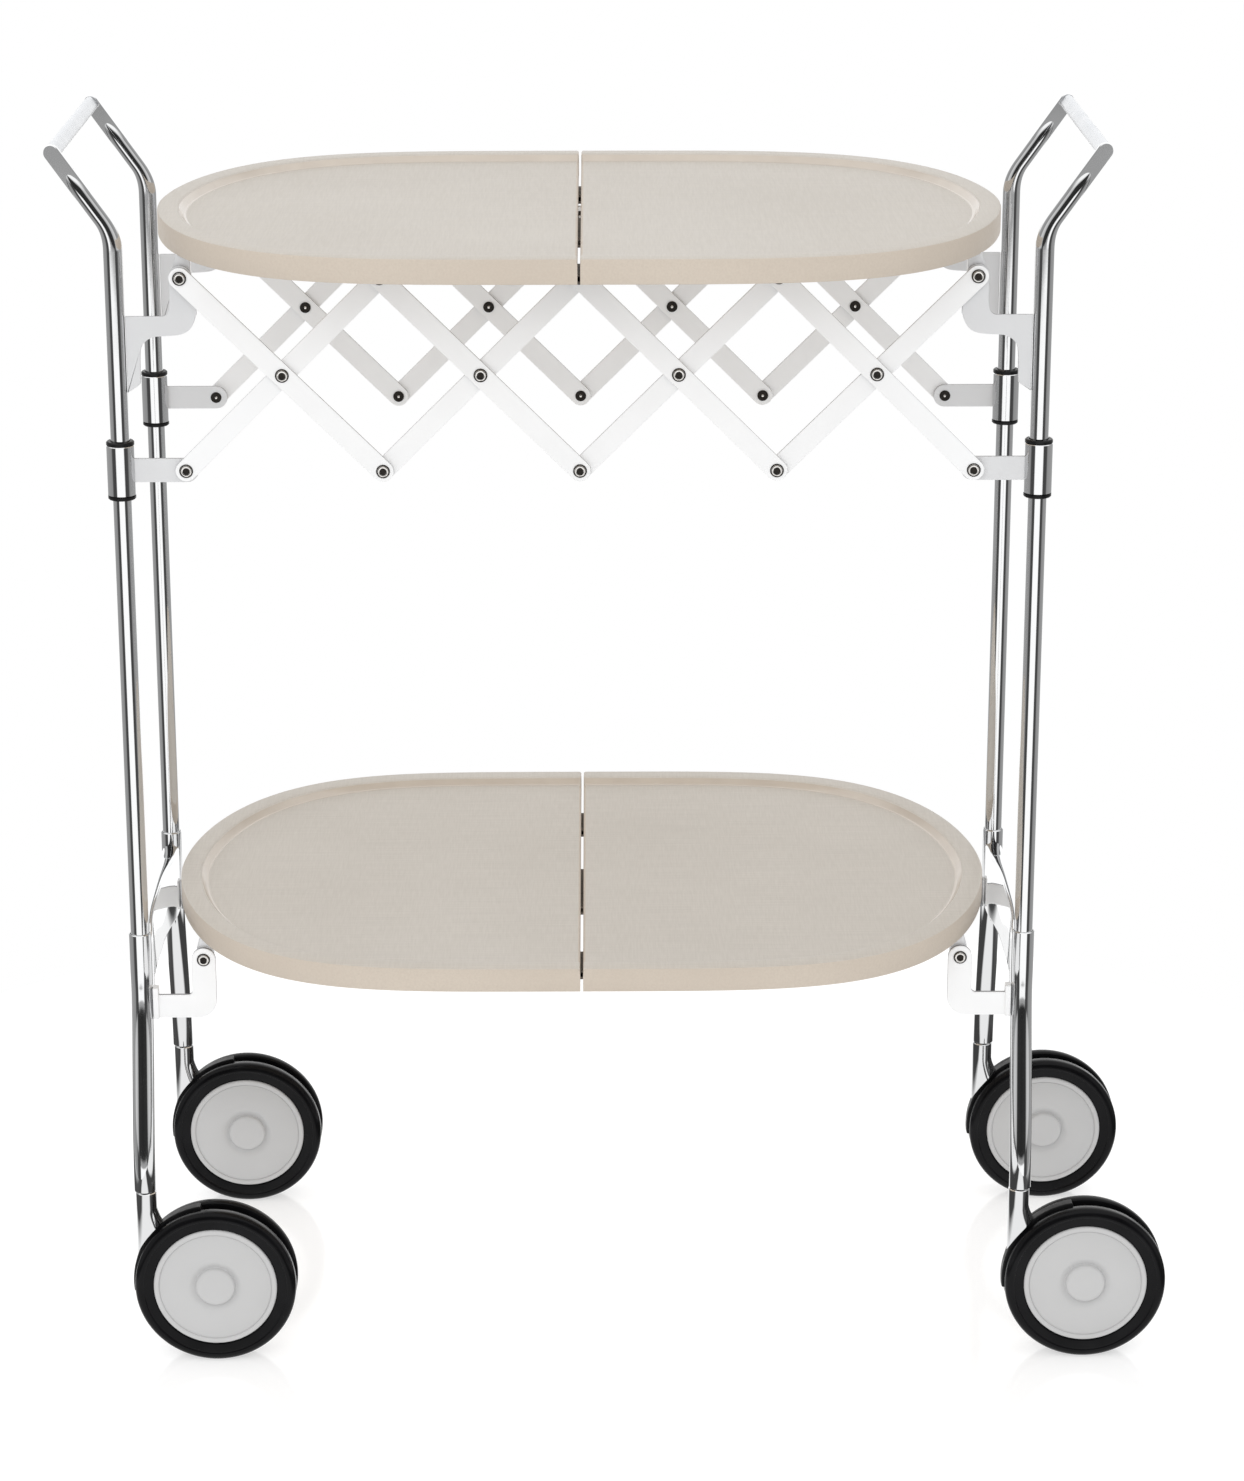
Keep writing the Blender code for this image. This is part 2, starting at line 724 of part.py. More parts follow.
def knuckle_outline(side):
    """Return a hinge knuckle and its leaf as (x, z) points, beside and under the tray's edge."""
    root = tray_above_pivot + tray_height - rim_step - floor_thickness / 2
    near = half_span - half_slot - fit_gap
    far = near - hinge_leaf_length
    outline = [(far, root), (near, root), (near, hinge_rise + barrel_radius * math.sin(math.pi / 3))]
    outline += arc((half_span, hinge_rise), barrel_radius, math.pi / 3, -math.pi / 2)
    outline += [(near - barrel_radius, hinge_rise - barrel_radius), (far, hinge_rise + barrel_radius)]
    return inward(side, outline)


def hinge_stations():
    """Return the middle and the knuckle width of each hinge along the slot."""
    end = end_hinge_share * tray_half_depth
    return ((-end, end_knuckle_width), (0, middle_knuckle_width), (end, end_knuckle_width))


def add_tray_half(level, side, height, material, axis):
    """Add half a tray with its lugs, its hinge knuckles and, on the left, the hinge pins."""
    name = f"{level}_tray_{SIDE_NAMES[side]}"
    pivot = add_joint(f"{name}_pivot", (side * half_span, 0, height), axis)
    tray = add_solid(name, tray_shape(side), material, pivot)
    top = tray_above_pivot + rim_round
    for depth in (FRONT, REAR):
        outline = [(lug_radius, top), (-lug_radius * lug_lean_share, top)]
        outline += arc((0, 0), lug_radius, math.pi, math.tau, 2 * arc_steps)
        unite(tray, plate(inward(side, outline), depth * lug_inner, depth * (lug_inner + lug_width)))
    for middle, width in hinge_stations():
        if side > 0:
            unite(tray, plate(knuckle_outline(side), middle - width / 2, middle + width / 2))
        else:
            for way in (-1, 1):
                start = middle + way * (width / 2 + fit_gap)
                unite(tray, plate(knuckle_outline(side), start, start + way * width))
            reach = width / 2 + fit_gap + width / 2
            ends = [Vector((half_span, y, hinge_rise)) for y in (middle - reach, middle + reach)]
            unite(tray, rods((*ends, hinge_pin_radius), segments=rivet_segments))
    holes = []
    for depth in (FRONT, REAR):
        ends = (depth * (lug_inner - tool_overrun), depth * (lug_inner + lug_width + tool_overrun))
        holes.append(((0, ends[0], 0), (0, ends[1], 0), pin_radius + fit_gap))
    if side > 0:
        for middle, width in hinge_stations():
            reach = width / 2 + tool_overrun
            holes.append(((-half_span, middle - reach, hinge_rise), (-half_span, middle + reach, hinge_rise),
                          hinge_pin_radius + fit_gap))
    cut(tray, rods(*holes, segments=rivet_segments))


# Casters
def fork_shape():
    """Return the caster's bright stem, flared over the wheels, with its swivel pin."""
    top = leg_foot - fit_gap - wheel_radius
    rings = [ellipse(Vector((-caster_trail, 0, top + swivel_pin_length)),
                     Vector((swivel_pin_radius, 0, 0)), Vector((0, swivel_pin_radius, 0))),
             ellipse(Vector((-caster_trail, 0, top)),
                     Vector((swivel_pin_radius, 0, 0)), Vector((0, swivel_pin_radius, 0)))]
    rings.append(ellipse(Vector((-caster_trail, 0, top)), Vector((fork_radius, 0, 0)),
                         Vector((0, fork_radius, 0))))
    neck = top - fork_neck
    for step in range(arc_steps + 1):
        share = step / arc_steps
        height = neck * (1 - share)
        half_width = fork_radius + fork_flare * share ** fork_flare_power
        half_depth = fork_radius + (fork_bottom_half_depth - fork_radius) * min(1, 2 * share)
        centre = Vector((-caster_trail + half_width - fork_radius, 0, height))
        rings.append(ellipse(centre, Vector((half_width, 0, 0)), Vector((0, half_depth, 0))))
    return loft(rings)


def hood_shape():
    """Return the black web between the wheels, from the fork's arc down to the axle."""
    outline = arc((0, 0), hood_radius, hood_start, hood_end, 2 * arc_steps)
    outline += arc((0, 0), hood_boss_radius, hood_end + hood_boss_turn,
                   hood_start - hood_boss_turn + math.tau, 2 * arc_steps)
    return plate(outline, -hood_half_width, hood_half_width)


def wheel_shape(way):
    """Return one wheel of a pair, turned about the axle, its face looking away from the hood."""
    outer = wheel_pair_half_width
    inner = outer - wheel_width
    cap = outer - hub_cap_thickness
    face = outer - disc_recess
    profile = [(0, cap), (axle_radius + fit_gap, cap), (axle_radius + fit_gap, inner),
               (wheel_radius - tread_edge, inner), (wheel_radius, inner + tread_edge),
               (wheel_radius, outer - tyre_round), (wheel_radius - tyre_round, outer),
               (disc_radius, outer), (disc_radius, face), (hub_radius, face),
               (hub_radius, face + hub_rise), (0, face + hub_rise)]
    shape = bmesh.new()
    corners = [shape.verts.new((radius, way * y, 0)) for radius, y in profile]
    edges = [shape.edges.new((corner, after)) for corner, after in zip(corners, corners[1:])]
    bmesh.ops.spin(shape, geom=corners + edges, cent=(0, 0, 0), axis=(0, 1, 0), angle=math.tau,
                   steps=wheel_segments, use_merge=True)
    bmesh.ops.remove_doubles(shape, verts=shape.verts, dist=weld_distance)
    return shape


def add_caster(side, depth, materials, frame):
    """Add a swivel caster: fork, hood with its axle, and two wheels."""
    place = f"{DEPTH_NAMES[depth]}_{SIDE_NAMES[side]}"
    x = side * caster_x
    y = depth * caster_y
    swivel = add_joint(f"{place}_swivel_axis", (x, y, leg_foot), frame)
    axle = add_joint(f"{place}_axle_axis", (x + caster_trail, y, wheel_radius), swivel)
    fork = add_solid(f"{place}_fork", fork_shape(), materials["chrome"], axle)
    ends = ((0, -wheel_radius, 0), (0, wheel_radius, 0))
    cut(fork, rods((*ends, hood_radius + fit_gap), segments=2 * wheel_segments))
    hood = add_solid(f"{place}_hood", hood_shape(), materials["black"], axle)
    axle_reach = wheel_pair_half_width - hub_cap_thickness - fit_gap
    unite(hood, rods(((0, -axle_reach, 0), (0, axle_reach, 0), axle_radius), segments=tube_segments))
    for way, label in ((-1, "a"), (1, "b")):
        spin = add_joint(f"{place}_wheel_{label}_axis", (x + caster_trail, y, wheel_radius), swivel)
        add_solid(f"{place}_wheel_{label}", wheel_shape(way), materials["wheel"], spin)


def main():
    for old in list(bpy.data.objects):
        bpy.data.objects.remove(old, do_unlink=True)
    materials = {
        "chrome": make_material("chrome", (0.78, 0.79, 0.80), 0.08, 1.0),
        "plate": make_material("satin plate", (0.86, 0.87, 0.88), 0.35, 0.6),
        "bar": make_material("pale bar", (0.88, 0.89, 0.90), 0.35, 0.2),
        "tray": make_material("beige tray", (0.66, 0.58, 0.49), 0.45, 0.0),
        "black": make_material("black plastic", (0.02, 0.02, 0.02), 0.4, 0.0),
        "wheel": make_material("wheel", (0.06, 0.06, 0.06), 0.5, 0.0),
    }
    left_frame = add_joint("left_frame_axis", (-half_span, 0, pivot_height))
    left_tray = add_joint("upper_tray_left_axis", (-half_span, 0, pivot_height), left_frame)
    right_tray = add_joint("upper_tray_right_axis", (0, 0, pivot_height + hinge_rise), left_tray)
    right_frame = add_joint("right_frame_axis", (half_span, 0, pivot_height), right_tray)
    for side, frame, upper_tray in ((-1, left_frame, left_tray), (1, right_frame, right_tray)):
        add_frame(side, materials, frame)
        add_sleeves(side, materials, frame)
        add_lattice_half(side, materials["plate"], frame)
        for depth in (FRONT, REAR):
            add_caster(side, depth, materials, frame)
        lower_name = f"lower_tray_{SIDE_NAMES[side]}_axis"
        lower_tray = add_joint(lower_name, (side * half_span, 0, lower_pivot_height), frame)
        add_tray_half("upper", side, pivot_height, materials["tray"], upper_tray)
        add_tray_half("lower", side, lower_pivot_height, materials["tray"], lower_tray)


main()
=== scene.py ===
"""Folding serving trolley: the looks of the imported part, laid out as a Blender add-on.

Every new piece is built in the part's own frame, in metres, and rides on a body of the part.
Left and front pieces are modelled first. The others are mirrored or turned about the slot
between the tray halves.
"""
import json
import math

import bmesh
import bpy
from bpy.props import FloatProperty, FloatVectorProperty, IntProperty, PointerProperty
from mathutils import Euler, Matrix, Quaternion, Vector


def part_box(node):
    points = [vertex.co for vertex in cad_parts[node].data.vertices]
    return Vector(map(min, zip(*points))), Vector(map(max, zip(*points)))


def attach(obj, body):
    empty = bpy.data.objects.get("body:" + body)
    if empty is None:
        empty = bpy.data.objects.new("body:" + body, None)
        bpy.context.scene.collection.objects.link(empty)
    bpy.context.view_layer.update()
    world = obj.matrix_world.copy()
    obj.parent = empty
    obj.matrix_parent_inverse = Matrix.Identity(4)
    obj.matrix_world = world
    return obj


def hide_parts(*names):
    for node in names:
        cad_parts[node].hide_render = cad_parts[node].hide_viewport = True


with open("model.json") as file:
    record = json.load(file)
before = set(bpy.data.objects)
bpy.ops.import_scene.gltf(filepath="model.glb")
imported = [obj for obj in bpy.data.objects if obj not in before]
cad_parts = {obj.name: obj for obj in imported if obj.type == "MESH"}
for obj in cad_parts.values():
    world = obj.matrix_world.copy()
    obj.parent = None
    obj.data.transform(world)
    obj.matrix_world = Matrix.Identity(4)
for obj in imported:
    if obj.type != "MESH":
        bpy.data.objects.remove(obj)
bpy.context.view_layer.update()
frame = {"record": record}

bl_info = {
    "name": "Folding Serving Trolley",
    "version": (1, 0, 0),
    "blender": (4, 5, 0),
    "location": "3D View > Sidebar > Trolley",
    "description": "Builds the fine pieces, finishes and studio of a folding serving trolley",
    "category": "Add Mesh",
}

SLOT_X = (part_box("upper_tray_left")[0].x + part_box("upper_tray_right")[1].x) / 2
MIDDLE = Vector((SLOT_X, 0, 0))
BAYS = 4
X_AXIS = Vector((1, 0, 0))
Y_AXIS = Vector((0, 1, 0))
Z_AXIS = Vector((0, 0, 1))
BODY_OF = {node: body for body, nodes in frame["record"]["behaviour"]["bodies"].items() for node in nodes}

# Sizes of single features, in metres
PIN_RADIUS = 0.0026
SHANK_RADIUS = 0.0023
HEAD_SINK = 0.0004
LUG_WIDTH = 0.0087
LUG_RADIUS = 0.0065
LUG_ROOT = 0.001
LUG_LEAN_SHARE = 0.4
PLATE_ROUND = 0.0005
SOCKET_DEPTH = 0.016
SOCKET_LENGTH = 0.026
SOCKET_BLEND = 0.016
SPLAY_TOP = 0.270
FOOT_ROUND = 0.0007
FOOT_ROUND_HEIGHT = 0.0008
CROSSBAR_LOW = 0.243
CROSSBAR_HIGH = 0.2915
CROSSBAR_HALF = 0.006
CROSSBAR_MIDDLE_HALF = 0.004
CROSSBAR_ROUND = 0.003
CROSSBAR_BOW = 0.003
CROSSBAR_BOW_SHARE = 0.8
BRACKET_DROP = 0.076
BRACKET_SHOULDER = 0.0256
EYE_RADIUS = 0.0075
LOWER_ARM_DROP = 0.0255
LOWER_ARM_HEIGHT = 0.0167
LOWER_EYE_RADIUS = 0.0082
LOWER_CORNER_ROUND = 0.013
LOWER_INNER_ROUND = 0.003
LOWER_THICKNESS = 0.003
FLANGE_SIZE = Vector((0.0039, 0.008, 0.0225))
SLEEVE_ROUND = 0.0005
ARM_HALF_HEIGHT = 0.008
ARM_START = 0.0087
BUSH_WALL = 0.001
COLLAR_HEIGHT = 0.0024
COLLAR_ROUND = 0.0007
UNDER_RIM = 0.013
LEAF_LENGTH = 0.012
LEAF_SHOULDER_ANGLE = 60
BARREL_RADIUS = 0.0034
HINGE_PIN_RADIUS = 0.0016
END_KNUCKLE = 0.012
MIDDLE_KNUCKLE = 0.026
END_HINGE_SHARE = 0.7
SWIVEL_PIN_RADIUS = 0.0032
SWIVEL_PIN_LENGTH = 0.020
STEM_NECK = 0.012
STEM_ROUND = 0.0006
STEM_FLARE = 0.020
STEM_FLARE_POWER = 1.5
STEM_DEEPENING = 0.0003
HOOD_RADIUS = 0.0572
HOOD_HALF_WIDTH = 0.004
BOSS_RADIUS = 0.011
AXLE_RADIUS = 0.0039
AXLE_REACH = 0.012


def length(name, description, default):
    """Return a length in metres that the user can change."""
    return FloatProperty(name=name, description=description, default=default, min=0.0, precision=4,
                         unit="LENGTH")


def colour(name, description, default):
    """Return a colour that the user can change."""
    return FloatVectorProperty(name=name, description=description, default=default, size=3, min=0.0,
                               max=1.0, subtype="COLOR")


class TrolleySizes(bpy.types.PropertyGroup):
    """Sizes of the trolley's pieces."""
    half_span: length("Half span", "From the slot to a tray pivot", 0.258)
    pivot_height: length("Upper pivots", "Height of the upper tray's pivots", 0.753)
    lower_pivot_height: length("Lower pivots", "Height of the lower tray's pivots", 0.2826)
    lattice_drop: length("Lattice depth", "From the lattice's upper pivots to its lower ones", 0.128)
    tube_offset: length("Tube offset", "From a tray pivot out to the tube", 0.043)
    half_depth: length("Half depth", "From the middle to a tube's axis", 0.107)
    tube_radius: length("Tube radius", "Radius of the bright side tubes", 0.0063)
    bend_rise: length("Bend rise", "From the upper pivots to the start of the bend", 0.017)
    bend_radius: length("Bend radius", "Radius of the bend below the handle", 0.035)
    bend_angle: FloatProperty(name="Bend angle", description="How far the handle leans outwards",
                              default=math.radians(35), subtype="ANGLE", unit="ROTATION")
    handle_length: length("Handle length", "Straight part of the tube above its bend", 0.058)
    tongue_length: length("Tongue length", "Length of the flattened tube end", 0.040)
    tongue_half_width: length("Tongue half width", "Half width of the flattened end", 0.0053)
    tongue_half_thickness: length("Tongue half thickness", "Half thickness of the flattened end", 0.0028)
    bar_width: length("Handle bar width", "Width of the bar along the tongues", 0.010)
    bar_thickness: length("Handle bar thickness", "Thickness of the bar", 0.007)
    bar_round: length("Handle bar rounding", "Rounding of the bar's long edges", 0.003)
    gap: length("Running gap", "Gap between moving pieces", 0.0003)
    arm_setback: length("Arm setback", "How far outside the tubes' axes the arms lie", 0.0004)
    link_thickness: length("Link thickness", "Thickness of a lattice link", 0.002)
    link_width: length("Link width", "Width of a lattice link", 0.014)
    link_edge: length("Link edge", "Rounding of the links' edges", 0.00035)
    rivet_radius: length("Rivet radius", "Radius of a rivet's outer head", 0.0045)
    rivet_height: length("Rivet height", "Height of a rivet's head", 0.0008)
    inner_rivet_radius: length("Inner rivet radius", "Radius of a rivet's inner head", 0.0042)
    leg_foot: length("Leg foot", "Height of the legs' lower ends", 0.1225)
    leg_half_width: length("Leg half width", "Half the width of a leg", 0.0074)
    leg_half_depth: length("Leg half depth", "Half the depth of a leg below its socket", 0.0085)
    foot_half_depth: length("Foot half depth", "Half the depth of a leg at its foot", 0.0074)
    leg_splay: length("Leg splay", "How far a leg's foot stands outside its tube", 0.027)
    socket_top: length("Socket top", "Height of the sockets that hold the tubes", 0.3014)
    socket_radius: length("Socket radius", "Radius of the sockets", 0.0076)
    tray_half_length: length("Tray half length", "From the slot to a tray's end", 0.2818)
    tray_half_depth: length("Tray half depth", "From the middle to a tray's front edge", 0.209)
    tray_low: length("Tray underside", "From the pivots up to the rim's underside", 0.0138)
    tray_height: length("Tray height", "Height of the rim", 0.0165)
    rim_width: length("Rim width", "Flat top of the rim", 0.0135)
    rim_step: length("Rim step", "From the rim's top down to the floor", 0.005)
    floor_thickness: length("Floor thickness", "Thickness of a tray's floor", 0.0055)
    half_slot: length("Half slot", "Half the gap between the tray halves", 0.0009)
    slot_round: length("Slot rounding", "Rounding of the halves' top edges along the slot", 0.0016)
    hinge_rise: length("Hinge rise", "From the pivots up to the hinge pins", 0.009)
    sleeve_radius: length("Sleeve radius", "Radius of the sliding sleeves", 0.0095)
    sleeve_half_length: length("Sleeve half length", "Half the length of a sliding sleeve", 0.0168)
    wheel_radius: length("Wheel radius", "Radius of the caster wheels", 0.0555)
    wheel_trail: length("Wheel trail", "From a caster's swivel axis to its axle", 0.0466)
    fork_radius: length("Stem radius", "Radius of a caster's bright stem", 0.0072)
    caster_inset: length("Caster inset", "How far the swivel axis stands inside the leg", 0.0006)
    steps: IntProperty(name="Round steps", description="Corners round a tube", default=48, min=12)


class TrolleyColours(bpy.types.PropertyGroup):
    """Colours of the trolley's finishes."""
    chrome: colour("Chrome", "Polished tubes, legs, sleeves and forks", (0.80, 0.805, 0.81))
    plate: colour("Satin plate", "Upper brackets, sleeve arms and lugs", (0.80, 0.805, 0.815))
    link: colour("Links", "Links and lower brackets", (0.955, 0.96, 0.965))
    # The narrow sides' colour is painted shade: a dark outline in place of the shade and dark reflection
    # that the edges show.
    plate_edge: colour("Plate edges", "Narrow sides of the links and brackets", (0.20, 0.20, 0.21))
    bar: colour("Handle bar", "Pale bar between the tongues", (0.77, 0.79, 0.82))
    rivet: colour("Rivet", "Bright rivet heads", (0.78, 0.76, 0.73))
    # The rivets' dark colour is painted shade round the outer heads' edges and in their bores, and the
    # inner heads' own dark colour.
    rivet_edge: colour("Rivet edge", "Dark edge and bore of the rivets", (0.016, 0.014, 0.012))
    shell: colour("Tray shell", "Beige rim and underside", (0.585, 0.51, 0.43))
    shell_light: colour("Tray shell, light", "Lighter flecks in the beige shell", (0.63, 0.555, 0.47))
    # The floor's threads are its own. Its tone, greyer than the shell, is painted reflection of the grey
    # surroundings.
    weave: colour("Tray floor", "Threads of the woven floor", (0.565, 0.52, 0.46))
    weave_light: colour("Tray floor, light", "Lighter threads of the woven floor", (0.65, 0.605, 0.545))
    black: colour("Black plastic", "Hoods, collars and bushes", (0.006, 0.006, 0.0065))
    tyre: colour("Tyre", "Black running rings of the wheels", (0.004, 0.004, 0.0045))
    disc: colour("Wheel disc", "Light grey discs of the wheels", (0.56, 0.56, 0.56))
    # The hinges' colour is painted shade: the knuckles darkened as if in the shadow of the slot.
    hinge: colour("Hinges", "Shaded hinge knuckles", (0.085, 0.072, 0.06))
    hinge_light: colour("Hinges, light", "Lighter flecks in the knuckles", (0.14, 0.12, 0.10))
    floor: colour("Studio floor", "Pale floor under the trolley", (0.60, 0.60, 0.60))


# Modelling by operators

def leave():
    """Leave edit mode and deselect everything."""
    if bpy.context.object is not None and bpy.context.object.mode != "OBJECT":
        bpy.ops.object.mode_set(mode="OBJECT")
    bpy.ops.object.select_all(action="DESELECT")


def settle(name):
    """Name the new piece, put its place in its mesh and open it for editing."""
    piece = bpy.context.object
    piece.name = name
    piece.data.name = name
    bpy.ops.object.transform_apply(location=True, rotation=True, scale=True)
    bpy.ops.object.mode_set(mode="EDIT")
    bpy.ops.mesh.select_mode(type="VERT")
    return piece


def start_disc(name, centre, radius, corners):
    """Start a piece as a filled circle that faces up."""
    leave()
    bpy.ops.mesh.primitive_circle_add(vertices=corners, radius=radius, fill_type="NGON", location=centre)
    return settle(name)


def start_block(name, centre, size):
    """Start a piece as a block."""
    leave()
    bpy.ops.mesh.primitive_cube_add(size=1, location=centre, scale=size)
    return settle(name)


def start_line(name, points):
    """Start a piece as a line drawn from corner to corner, and select all of it."""
    leave()
    bpy.ops.mesh.primitive_plane_add(size=0.01, location=points[0])
    piece = settle(name)
    bpy.ops.mesh.merge(type="CENTER")
    for before, after in zip(points, points[1:]):
        bpy.ops.mesh.extrude_vertices_move(TRANSFORM_OT_translate={"value": tuple(after - before)})
    bpy.ops.mesh.select_all(action="SELECT")
    return piece


def start_plate(name, outline, y_start, y_end):
    """Start a piece as a plate: an outline of (x, z) points made thick along Y."""
    piece = start_line(name, [Vector((x, y_start, z)) for x, z in outline])
    bpy.ops.mesh.edge_face_add()
    carry((0, y_end - y_start, 0))
    return piece


def start_turned(name, profile, centre, axis, steps, closed=False):
    """Start a piece as a (radius, along) line spun about an axis."""
    if closed:
        profile = profile + profile[:1]
    centre = Vector(centre)
    piece = start_line(name, [centre + X_AXIS * radius + axis * along for radius, along in profile])
    bpy.ops.mesh.spin(steps=steps, angle=math.tau, center=tuple(centre), axis=tuple(axis))
    bpy.ops.mesh.select_all(action="SELECT")
    bpy.ops.mesh.remove_doubles(threshold=0.000002)
    return piece


def carry(step):
    """Extrude what is selected by a step."""
    bpy.ops.mesh.extrude_region_move(TRANSFORM_OT_translate={"value": tuple(step)})


def stretch(share, centre):
    """Scale what is selected about a point."""
    bpy.ops.transform.resize(value=tuple(share), center_override=tuple(centre))


def turn(angle, axis, centre):
    """Turn what is selected by the right-hand rule. With no window the tool turns the other way."""
    bpy.ops.transform.rotate(value=-angle, orient_axis=axis, center_override=tuple(centre))


def choose(piece, test):
    """Select the corners that pass a test, with the edges and faces between them."""
    shape = bmesh.from_edit_mesh(piece.data)
    shape.verts.index_update()
    for corner in shape.verts:
        corner.select = test(corner)
    shape.select_mode = {"VERT"}
    shape.select_flush_mode()
    bmesh.update_edit_mesh(piece.data)


def choose_edges(piece, test):
    """Select the edges that pass a test of their two ends."""
    bpy.ops.mesh.select_mode(type="EDGE")
    bpy.ops.mesh.select_all(action="DESELECT")
    shape = bmesh.from_edit_mesh(piece.data)
    for edge in shape.edges:
        edge.select_set(test(edge.verts[0].co, edge.verts[1].co))
    bmesh.update_edit_mesh(piece.data)


def press(piece, low, high):
    """Flatten the selected end between two planes across Y, and select it again."""
    shape = bmesh.from_edit_mesh(piece.data)
    shape.verts.index_update()
    end = {corner.index: corner.co.y for corner in shape.verts if corner.select}
    for level, beyond in ((low, {i for i, y in end.items() if y < low}),
                          (high, {i for i, y in end.items() if y > high})):
        if beyond:
            choose(piece, lambda corner: corner.index in beyond)
            stretch((1, 0, 1), (0, level, 0))
    choose(piece, lambda corner: corner.index in end)


def sweep(stations):
    """Carry the selected end from station to station, each (centre, half width, half depth, lean)."""
    centre, wide, deep, lean = stations[0]
    for next_centre, next_wide, next_deep, next_lean in stations[1:]:
        carry(next_centre - centre)
        if lean:
            turn(-lean, "Y", next_centre)
        stretch((next_wide / wide, next_deep / deep, 1), next_centre)
        if next_lean:
            turn(next_lean, "Y", next_centre)
        centre, wide, deep, lean = next_centre, next_wide, next_deep, next_lean


def soften(piece, width, segments=2, angle=30):
    """Round a piece's sharp edges with a bevel, and apply it."""
    bpy.ops.object.mode_set(mode="OBJECT")
    modifier = piece.modifiers.new("soften", "BEVEL")
    modifier.width = width
    modifier.segments = segments
    modifier.limit_method = "ANGLE"
    modifier.angle_limit = math.radians(angle)
    bpy.ops.object.modifier_apply(modifier=modifier.name)


def cut_away(piece, tool):
    """Cut a tool's shape out of a piece, and delete the tool."""
    leave()
    bpy.context.view_layer.objects.active = piece
    piece.select_set(True)
    modifier = piece.modifiers.new("cut", "BOOLEAN")
    modifier.operation = "DIFFERENCE"
    modifier.solver = "EXACT"
    modifier.object = tool
    bpy.ops.object.modifier_apply(modifier=modifier.name)
    leave()
    tool.select_set(True)
    bpy.ops.object.delete()


def tint_edges(piece, name):
    """Give a plate its finish, and its narrow side faces a painted shade: a dark outline in place of the
    shade and dark reflection on the edges.
    """
    piece.data.materials.append(finish(name))
    piece.data.materials.append(finish("plate_edge"))
    paint(piece, lambda face: abs(face.normal.y) < 0.3, 1)


def paint(piece, test, index):
    """Give the faces that pass a test one of the piece's materials."""
    leave()
    bpy.context.view_layer.objects.active = piece
    piece.select_set(True)
    bpy.ops.object.mode_set(mode="EDIT")
    bpy.ops.mesh.select_mode(type="FACE")
    bpy.ops.mesh.select_all(action="DESELECT")
    shape = bmesh.from_edit_mesh(piece.data)
    for face in shape.faces:
        face.select_set(test(face))
    bmesh.update_edit_mesh(piece.data)
    piece.active_material_index = index
    bpy.ops.object.material_slot_assign()
    bpy.ops.mesh.select_mode(type="VERT")
    leave()


def close(piece, material, angle=20):
    """Point a part's faces outwards, smooth it up to an angle and give it its material."""
    if piece.mode != "EDIT":
        leave()
        bpy.context.view_layer.objects.active = piece
        piece.select_set(True)
        bpy.ops.object.mode_set(mode="EDIT")
    bpy.ops.mesh.select_all(action="SELECT")
    bpy.ops.mesh.normals_make_consistent(inside=False)
    bpy.ops.object.mode_set(mode="OBJECT")
    bpy.ops.object.shade_smooth_by_angle(angle=math.radians(angle))
    if not piece.data.materials:
        piece.data.materials.append(material)
    return piece


def join(parts):
    """Join parts into the first one."""
    leave()
    if len(parts) == 1:
        return parts[0]
    for part in parts:
        part.select_set(True)
    bpy.context.view_layer.objects.active = parts[0]
    bpy.ops.object.join()
    return parts[0]


def copy(piece, name):
    """Copy a piece with its own mesh, opened for editing with all of it selected."""
    leave()
    piece.select_set(True)
    bpy.context.view_layer.objects.active = piece
    bpy.ops.object.duplicate(linked=False)
    made = bpy.context.object
    made.name = name
    made.data.name = name
    bpy.ops.object.mode_set(mode="EDIT")
    bpy.ops.mesh.select_mode(type="VERT")
    bpy.ops.mesh.select_all(action="SELECT")
    return made


def mirrored(piece, name, share):
    """Copy a piece to the other side of the slot or of the middle."""
    made = copy(piece, name)
    stretch(share, MIDDLE)
    if share[0] * share[1] * share[2] < 0:
        bpy.ops.mesh.flip_normals()
    leave()
    return made


def turned_round(piece, name):
    """Copy a piece half a turn round the slot's middle."""
    made = copy(piece, name)
    turn(math.pi, "Z", MIDDLE)
    leave()
    return made


def moved(piece, name, step):
    """Copy a piece by a step."""
    made = copy(piece, name)
    bpy.ops.transform.translate(value=tuple(step))
    leave()
    return made


def dress(piece, node):
    """Let a piece stand for a node of the part and ride on its body."""
    leave()
    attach(piece, BODY_OF[node])
    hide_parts(node)


def four_ways(piece, pattern):
    """Mirror a front left piece to the four corners, and dress all four."""
    made = [(piece, "front", "left")]
    for depth, side, share in (("front", "right", (-1, 1, 1)), ("rear", "left", (1, -1, 1)),
                               ("rear", "right", (-1, -1, 1))):
        made.append((mirrored(piece, "copy", share), depth, side))
    for one, depth, side in made:
        node = pattern.format(depth=depth, side=side)
        one.name = "fine_" + node
        dress(one, node)


def smooth_step(share):
    """Rise from 0 to 1 with level ends."""
    share = min(max(share, 0), 1)
    return share * share * (3 - 2 * share)


def arc(centre, radius, start, end, steps=8):
    """Return points (x, z) along an arc given in degrees."""
    return [(centre[0] + radius * math.cos(math.radians(start + (end - start) * step / steps)),
             centre[1] + radius * math.sin(math.radians(start + (end - start) * step / steps)))
            for step in range(steps + 1)]


def flowing(points, steps=5):
    """Return a finer line that flows through points (x, z)."""
    line = []
    for index in range(len(points) - 1):
        before, here, there, after = [Vector(points[min(max(index + k, 0), len(points) - 1)])
                                      for k in (-1, 0, 1, 2)]
        for step in range(steps):
            t = step / steps
            spot = 0.5 * (2 * here + (there - before) * t
                          + (2 * before - 5 * here + 4 * there - after) * t * t
                          + (3 * here - before - 3 * there + after) * t * t * t)
            line.append((spot.x, spot.y))
    return line + [tuple(points[-1])]


# Finishes

